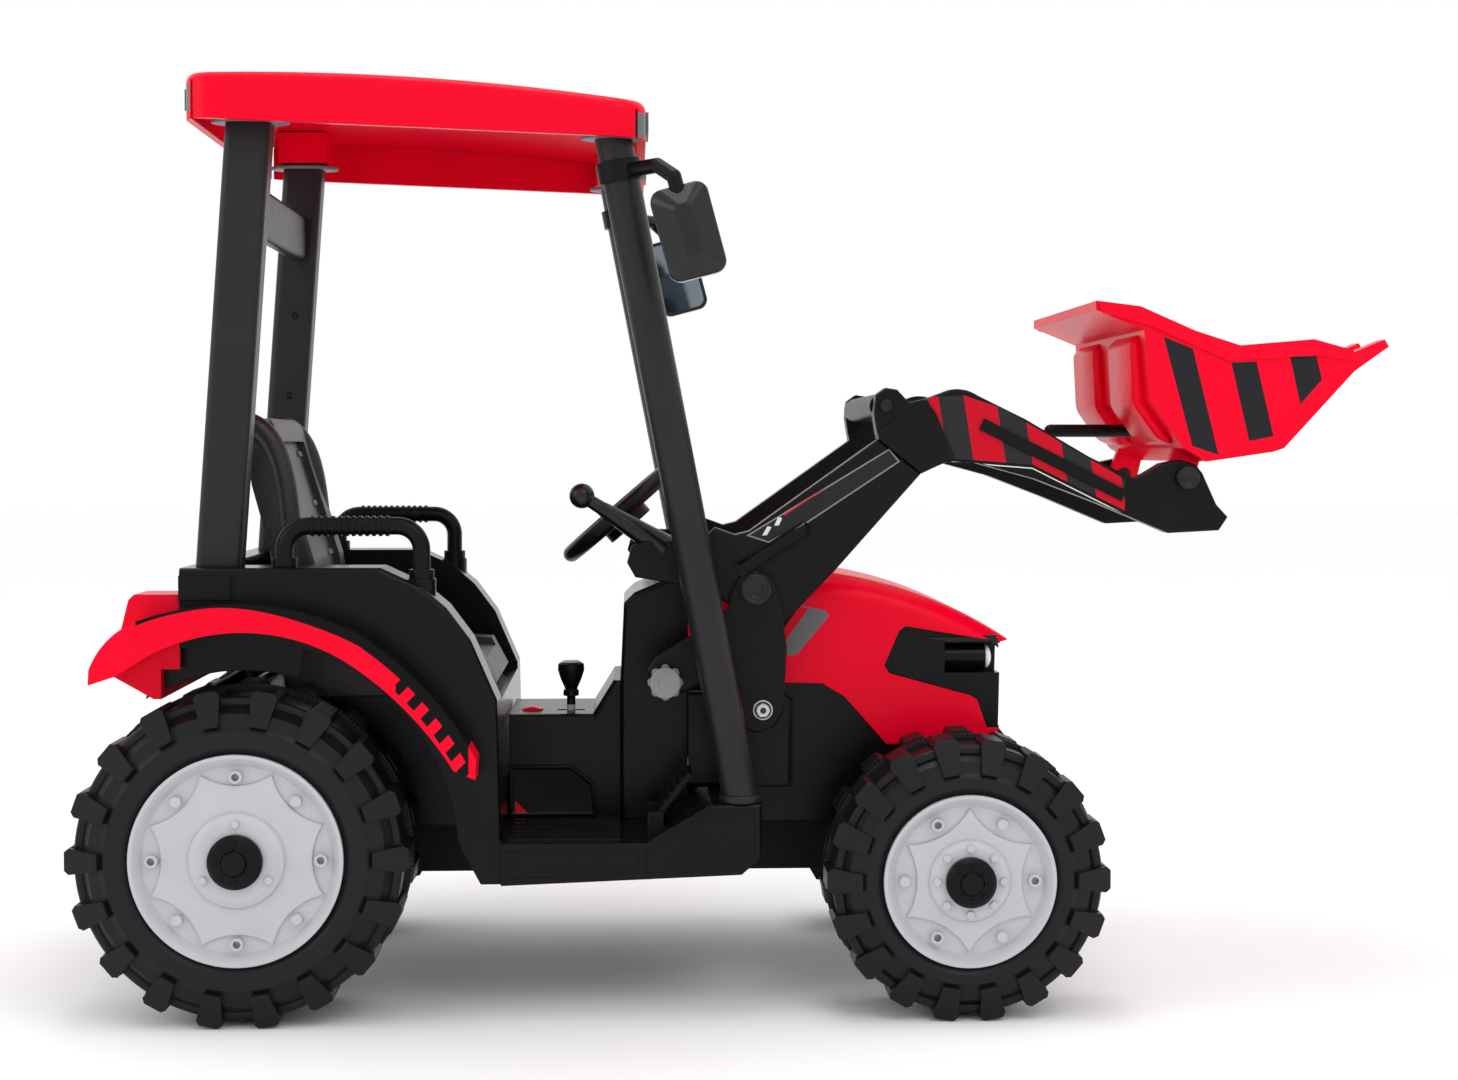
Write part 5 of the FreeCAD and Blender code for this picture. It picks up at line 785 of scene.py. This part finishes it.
class TRACTOR_OT_wheels(bpy.types.Operator):
    """Tyres, rims and hub caps, and the rings between each tyre's lugs"""
    bl_idname = "tractor.wheels"
    bl_label = "Wheels"

    def execute(self, context):
        colours = context.scene.tractor_colours
        rim = Finish("rim grey")
        pale = tuple(colours.wheel)
        dust = rim.noise(size=0.03, detail=4.0).ramp(0.4, 0.8)
        rim.vary("Base Color", rim.mix(dust * 0.5, pale, scaled(pale, 0.9)))
        rim.rough(least=0.30, spread=0.1, size=0.01, detail=3.0)
        rim.bump(rim.noise(size=0.006), depth=0.0003)
        cap = grained("hub cap black", tuple(colours.black), 0.28)
        for end, ring, teeth in WHEELS:
            low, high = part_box(end + "_tyre_right")
            centre = ((low.x + high.x) / 2, (low.z + high.z) / 2)
            tread = tyre_rubber(end + " tyre", tuple(colours.tread), centre, ring)
            dress(tread, *both(end + "_tyre"))
            dress(rim, *both(end + "_rim"))
            dress(cap, *both(end + "_hubcap"))
            self.band(low, high, teeth)
            pair(end + "_band_{}", end + "_wheel_{}", tread)
            self.root(low, high)
            pair(end + "_root_{}", end + "_wheel_{}", tread)
        return {"FINISHED"}

    def hoop(self, low, high, drop, share, place, vertices):
        """An open ring below the tread by drop; its width and place are shares of the tyre's width."""
        width = high.y - low.y
        start()
        bpy.ops.mesh.primitive_cylinder_add(
            vertices=vertices, radius=(high.z - low.z) / 2 - drop, depth=share * width,
            end_fill_type="NOTHING", rotation=(QUARTER_TURN, 0, 0),
            location=((low.x + high.x) / 2, low.y + place * width, (low.z + high.z) / 2))

    def root(self, low, high):
        """The ring that the outer lugs rise from."""
        self.hoop(low, high, drop=0.0075, share=0.40, place=0.33, vertices=128)
        walled(0.012)
        rounded(0.005, 3)

    def band(self, low, high, teeth):
        """A ring of small teeth that grips the ground between the two rows of lugs."""
        self.hoop(low, high, drop=0.0045, share=0.11, place=0.58, vertices=2 * teeth)
        pick(lambda face: face.index % 2 == 0)
        bpy.ops.mesh.inset(thickness=0.0005, depth=0.0032, use_individual=True)
        bpy.ops.object.mode_set(mode="OBJECT")
        walled(0.008)


SEAT_GROOVE = 0.060
SEAT_GROOVE_HALF = 0.0016
GLASS_TINTS = ((0.16, 0.19, 0.22), (0.20, 0.23, 0.26))
BLACKENED = (0.03, 0.03, 0.03)

# The bolster's path up the backrest in side view, and its place from the tractor's middle.
BOLSTER_PATH = ((-0.5020, 0.460), (-0.5050, 0.530), (-0.5075, 0.590), (-0.5180, 0.632), (-0.5490, 0.644))
BOLSTER_PLACE = -0.1205
BOLSTER_RADIUS = 0.0125

# Grey strips on the backrest's middle panel, painted reflections of the light in its grooves: (x, z) places,
# lean, place from the middle, width and thickness.
SEAT_GLINTS = ((-0.5228, 0.610), (-0.5053, 0.551), (-0.4868, 0.492))
SEAT_GLINT_LEAN = math.radians(73)
SEAT_GLINT_PLACE = -0.072
SEAT_GLINT_WIDTH = 0.034
SEAT_GLINT_THICKNESS = 0.004

# Pads under the roof: end, middle and size.
POST_PADS = (
    ("rear", (-0.5325, -0.202, 0.9690), (0.084, 0.050, 0.004)),
    ("front", (-0.1410, -0.238, 0.9490), (0.068, 0.050, 0.004)),
)

# Screws on the left: what they hold, how far out they sit, and their (x, z) places.
SCREWS = (
    ("armrest", 0.2165, ((-0.484, 0.533), (-0.398, 0.533))),
    ("post", 0.1815, ((-0.5450, 0.7838), (-0.5528, 0.6835))),
)


class TRACTOR_OT_cab(bpy.types.Operator):
    """Seat, armrests, mirrors and roof trim"""
    bl_idname = "tractor.cab"
    bl_label = "Cab"

    def execute(self, context):
        colours = context.scene.tractor_colours
        trim = context.scene.tractor_trim
        black = tuple(colours.black)
        seat = Finish("seat vinyl")
        base = seat.mix(seat.noise(size=0.05), scaled(black, 0.9), scaled(black, 1.3))
        seat.vary("Base Color", seat_panel(seat, base))
        seat.rough(least=0.38, spread=0.1, size=0.02, detail=3.0)
        groove = (abs(abs(seat.y) - SEAT_GROOVE) < SEAT_GROOVE_HALF) * 3.0
        seat.bump(seat.cells(size=0.0032) * 0.35 - groove, depth=0.0006)
        dress(seat, "seat")
        self.bolsters(seat)
        dress(grained("armrest black", scaled(black, 1.1), 0.30), "armrests", "mirror_arms")
        dress(grained("mirror black", black, 0.16, shine=0.40), *both("mirror"))
        glass = Finish("mirror glass")
        glass.clouded(*GLASS_TINTS, size=0.02)
        glass.rough(least=0.03, spread=0.05, size=0.01, detail=4.0)
        glass.set(Metallic=1.0)
        dress(glass, *both("mirror_glass"))
        dress(grained("lamp grey", tuple(colours.grey), 0.34), "roof_lamps")
        # Grey strips painted as the light reflected in the backrest's grooves.
        self.seat_glints(grained("tab grey", scaled(colours.grey, 1.1), 0.35), trim.seat_glint)
        self.post_pads(grained("pad grey", scaled(colours.grey, 1.2), 0.35))
        self.screws(plated("black screw", BLACKENED, 0.35), trim.screw)
        return {"FINISHED"}

    def bolsters(self, finish):
        """A padded arch up each side of the backrest."""
        start()
        bpy.ops.curve.primitive_nurbs_path_add()
        path = bpy.context.object.data
        for point, (x, z) in zip(path.splines[0].points, BOLSTER_PATH):
            point.co = (x, BOLSTER_PLACE, z, 1.0)
        path.bevel_depth = BOLSTER_RADIUS
        path.bevel_resolution = 6
        path.use_fill_caps = True
        bpy.ops.object.convert(target="MESH")
        pair("seat_bolster_{}", "tractor", finish)

    def seat_glints(self, finish, height):
        """Grey strips along both edges of the backrest's middle panel, painted reflections of the light in
        its grooves.
        """
        for number, (x, z) in enumerate(SEAT_GLINTS):
            slab((height, SEAT_GLINT_WIDTH, SEAT_GLINT_THICKNESS), (0, 0, 0), 0.0010)
            glint = bpy.context.object
            glint.rotation_euler = (0, SEAT_GLINT_LEAN, 0)
            glint.location = (x, SEAT_GLINT_PLACE, z)
            pair("seat_glint_{}_%d" % number, "tractor", finish)

    def post_pads(self, finish):
        """Grey pads between the posts and the roof's skirt."""
        for end, at, size in POST_PADS:
            oval(size, at, 0.0008)
            pair(end + "_post_pad_{}", "tractor", finish)

    def screws(self, finish, radius):
        """Screw heads on the armrests' and the rear posts' sides."""
        for what, y, places in SCREWS:
            for number, (x, z) in enumerate(places):
                screw_head((x, y, z), 1, radius)
                name = "%s_screw_{}_%d" % (what, number)
                pair(name, "tractor", finish, sides=("left", "right"))


ARM_SLOT = ((-0.0035, 0.4755), (0.0045, 0.4700), (0.0772, 0.5178), (0.0797, 0.5322), (0.0690, 0.5405),
            (-0.0102, 0.4900))
ARM_SLOT_BACK = 0.160
ARM_SLOT_FACE = 0.1808
ARM_SLOT_RIM = 0.0022
ARM_SLOT_DROP = 0.0045

SLEEVE_MIDDLE = (-0.1195, -0.166, 0.5279)
SLEEVE_LEAN = math.radians(-57.9)
SLEEVE_FOOT_RADIUS = 0.0155
SLEEVE_TOP_RADIUS = 0.0080
SLEEVE_LENGTH = 0.085

# Bolts in side view: the pivot's is dark all over, the tower's has a dark middle and a dark ring.
PIVOT_BOLT = (0.015, 0.461)
PIVOT_BOLT_REACH = 0.030
TOWER_BOLT = (0.023, 0.327)
BOLT_MIDDLE = 0.0035
BOLT_RING = 0.0085
BOLT_RING_HALF = 0.0012

# Round caps on the right: body, place and radius.
PIVOT_CAP = ("tractor", (0.015, -0.1975, 0.461), 0.0165)
PIN_CAP = ("loader", (0.498, -0.1870, 0.584), 0.0125)
KNOB_CAP = ("tractor", (-0.085, -0.2055, 0.359), 0.0170)

ELBOW_SCREW = (0.160, -0.1845, 0.664)
ELBOW_SCREW_RADIUS = 0.007

BUCKET_LOBE = ((0.4485, 0.7465), (0.4365, 0.7350), (0.4405, 0.6655), (0.4680, 0.6275), (0.4880, 0.6195),
               (0.4545, 0.6715))
BUCKET_LOBE_SPAN = (-0.040, -0.165)


class TRACTOR_OT_loader(bpy.types.Operator):
    """Loader arms, forearms and bucket with their stickers"""
    bl_idname = "tractor.loader"
    bl_label = "Loader"

    def execute(self, context):
        colours = context.scene.tractor_colours
        black = tuple(colours.black)
        arm = grained("arm black", black, 0.34, arm_sticker)
        dress(arm, *both("loader_arm"))
        framed_panel(ARM_SLOT, ARM_SLOT_BACK, ARM_SLOT_FACE, ARM_SLOT_RIM, ARM_SLOT_DROP)
        pair("arm_slot_pan_{}", "loader", arm)
        dress(grained("forearm black", black, 0.34, forearm_stripes), *both("loader_forearm"))
        dress(grained("tower black", black, 0.36), "loader_towers", "loader_crossbeam", "bucket_handle")
        lever = grained("lever black", black, 0.20, shine=0.32)
        dress(lever, "lift_lever", "bucket_pins")
        self.sleeve(lever)
        self.bolts(colours)
        scoop = glossy_shell("bucket red", tuple(colours.red), bucket_stripes)
        dress(scoop, "bucket")
        self.lobes(scoop)
        knob = grained("knob grey", scaled(colours.grey, 1.5), 0.38)
        dress(knob, "clamp_knobs")
        pivot = grained("pivot cap black", scaled(black, 2.0), 0.24, shine=0.28)
        self.cap("pivot_cap_{}", PIVOT_CAP, pivot, "black_plastic")
        self.cap("bucket_pin_cap_{}", PIN_CAP, pivot, "black_plastic")
        self.cap("knob_cap_{}", KNOB_CAP, knob, "grey_plastic")
        screw_head(ELBOW_SCREW, -1, ELBOW_SCREW_RADIUS)
        pair("elbow_screw_{}", "loader", plated("elbow screw", BLACKENED, 0.35))
        return {"FINISHED"}

    def sleeve(self, finish):
        """The tapered foot of the lift lever."""
        start()
        bpy.ops.mesh.primitive_cone_add(vertices=48, radius1=SLEEVE_FOOT_RADIUS, radius2=SLEEVE_TOP_RADIUS,
                                        depth=SLEEVE_LENGTH, location=SLEEVE_MIDDLE,
                                        rotation=(0, SLEEVE_LEAN, 0))
        rounded(0.0012)
        settle("lever_sleeve", "loader", finish)

    def bolts(self, colours):
        """Plated bolts of the towers, with their dark places."""
        finish = plated("tower bolt", tuple(colours.zinc), 0.28)
        reach = finish.radius(*TOWER_BOLT)
        dark = (finish.radius(*PIVOT_BOLT) < PIVOT_BOLT_REACH).most(reach < BOLT_MIDDLE)
        dark = dark.most(abs(reach - BOLT_RING) < BOLT_RING_HALF)
        bright = finish.mix(finish.noise(size=0.008), colours.zinc, scaled(colours.zinc, 0.8))
        finish.vary("Base Color", finish.mix(dark, bright, colours.black))
        finish.vary("Metallic", 1 - dark)
        dress(finish, "loader_bolts")

    def cap(self, name, kind, finish, slot):
        """A ringed cap on each side."""
        body, at, radius = kind
        ringed_cap(at, radius)
        pair(name, body, finish)

    def lobes(self, finish):
        """Two swellings that stiffen the bucket's back."""
        shaped_block(BUCKET_LOBE, *BUCKET_LOBE_SPAN)
        rounded(0.006, 3)
        pair("bucket_lobe_{}", "bucket", finish)


class TRACTOR_OT_controls(bpy.types.Operator):
    """Steering wheel, gear lever and pedal"""
    bl_idname = "tractor.controls"
    bl_label = "Controls"

    def execute(self, context):
        black = tuple(context.scene.tractor_colours.black)
        dress(grained("steering black", scaled(black, 1.1), 0.33), "steering_wheel")
        dress(grained("knob black", black, 0.36, lever_top), "gear_lever")
        dress(grained("pedal black", scaled(black, 0.9), 0.34), "accelerator_pedal")
        return {"FINISHED"}


FLOOR_SIZE = 40
FLOOR_TINTS = ((0.985, 0.985, 0.985), (0.995, 0.995, 0.995))
WHITE = (1.0, 1.0, 1.0, 1.0)

# Soft lamps: name, place, the point that each looks at, side in metres and power in watts.
LAMPS = (
    ("key", (1.2, -2.6, 3.4), (0.0, 0.0, 0.55), 1.8, 20.0),
    ("top", (-0.2, -0.1, 3.4), (-0.1, 0.0, 0.5), 1.3, 20.0),
    ("rear", (-3.4, -1.6, 1.9), (-0.2, 0.0, 0.5), 1.6, 13.0),
)

CAMERA_PLACE = (-0.1215, -2.650, 0.615)
CAMERA_DOWN = 2.31
CAMERA_FORWARD = 2.49
CAMERA_SENSOR = 36.0
CAMERA_LENS = 55.11


class TRACTOR_OT_stage(bpy.types.Operator):
    """Pale floor, soft lamps and the camera at the rider's right"""
    bl_idname = "tractor.stage"
    bl_label = "Stage"

    def execute(self, context):
        scene = context.scene
        scene.view_settings.view_transform = "Standard"
        self.floor()
        self.sky(scene)
        for lamp in LAMPS:
            self.lamp(*lamp)
        self.camera(scene)
        return {"FINISHED"}

    def floor(self):
        """A wide pale floor that keeps a soft shadow."""
        start()
        bpy.ops.mesh.primitive_plane_add(size=FLOOR_SIZE, location=(0, 0, 0))
        plane = bpy.context.object
        plane.name = "floor"
        pale = Finish("floor pale")
        pale.clouded(*FLOOR_TINTS, size=1.5)
        pale.set(Roughness=0.9)
        plane.data.materials.append(pale.material)

    def sky(self, scene):
        """White all round."""
        world = bpy.data.worlds.new("studio white")
        scene.world = world
        world.use_nodes = True
        sky = world.node_tree.nodes["Background"]
        sky.inputs["Color"].default_value = WHITE
        sky.inputs["Strength"].default_value = 1.0

    def lamp(self, name, at, towards, size, power):
        """A large soft lamp that looks at a point."""
        light = bpy.data.lights.new(name, "AREA")
        light.size = size
        light.energy = power
        holder = bpy.data.objects.new(name, light)
        holder.location = at
        aim = Vector(towards) - Vector(at)
        holder.rotation_euler = aim.to_track_quat("-Z", "Y").to_euler()
        bpy.context.collection.objects.link(holder)

    def camera(self, scene):
        """The photograph's view: level with the steering wheel, turned a little forward and down."""
        lens = bpy.data.cameras.new("camera")
        lens.sensor_width = CAMERA_SENSOR
        lens.lens = CAMERA_LENS
        holder = bpy.data.objects.new("camera", lens)
        holder.location = CAMERA_PLACE
        holder.rotation_euler = (math.radians(90 - CAMERA_DOWN), 0, math.radians(-CAMERA_FORWARD))
        bpy.context.collection.objects.link(holder)
        scene.camera = holder


class VIEW3D_PT_tractor(bpy.types.Panel):
    """Lists the steps and the values behind them"""
    bl_label = "Tractor looks"
    bl_space_type = "VIEW_3D"
    bl_region_type = "UI"
    bl_category = "Tractor"

    def draw(self, context):
        for step in STEPS:
            self.layout.operator(step.bl_idname)
        for group in (context.scene.tractor_colours, context.scene.tractor_trim):
            for name in group.__annotations__:
                self.layout.prop(group, name)


STEPS = (TRACTOR_OT_stage, TRACTOR_OT_shells, TRACTOR_OT_mouldings, TRACTOR_OT_wheels, TRACTOR_OT_cab,
         TRACTOR_OT_loader, TRACTOR_OT_controls)
CLASSES = (TractorColours, TractorTrim) + STEPS + (VIEW3D_PT_tractor,)


def register():
    for kind in CLASSES:
        bpy.utils.register_class(kind)
    bpy.types.Scene.tractor_colours = PointerProperty(type=TractorColours)
    bpy.types.Scene.tractor_trim = PointerProperty(type=TractorTrim)


def unregister():
    del bpy.types.Scene.tractor_trim
    del bpy.types.Scene.tractor_colours
    for kind in reversed(CLASSES):
        bpy.utils.unregister_class(kind)


def main():
    register()
    bpy.ops.tractor.stage()
    bpy.ops.tractor.shells()
    bpy.ops.tractor.mouldings()
    bpy.ops.tractor.wheels()
    bpy.ops.tractor.cab()
    bpy.ops.tractor.loader()
    bpy.ops.tractor.controls()


if __name__ == "__main__":
    main()
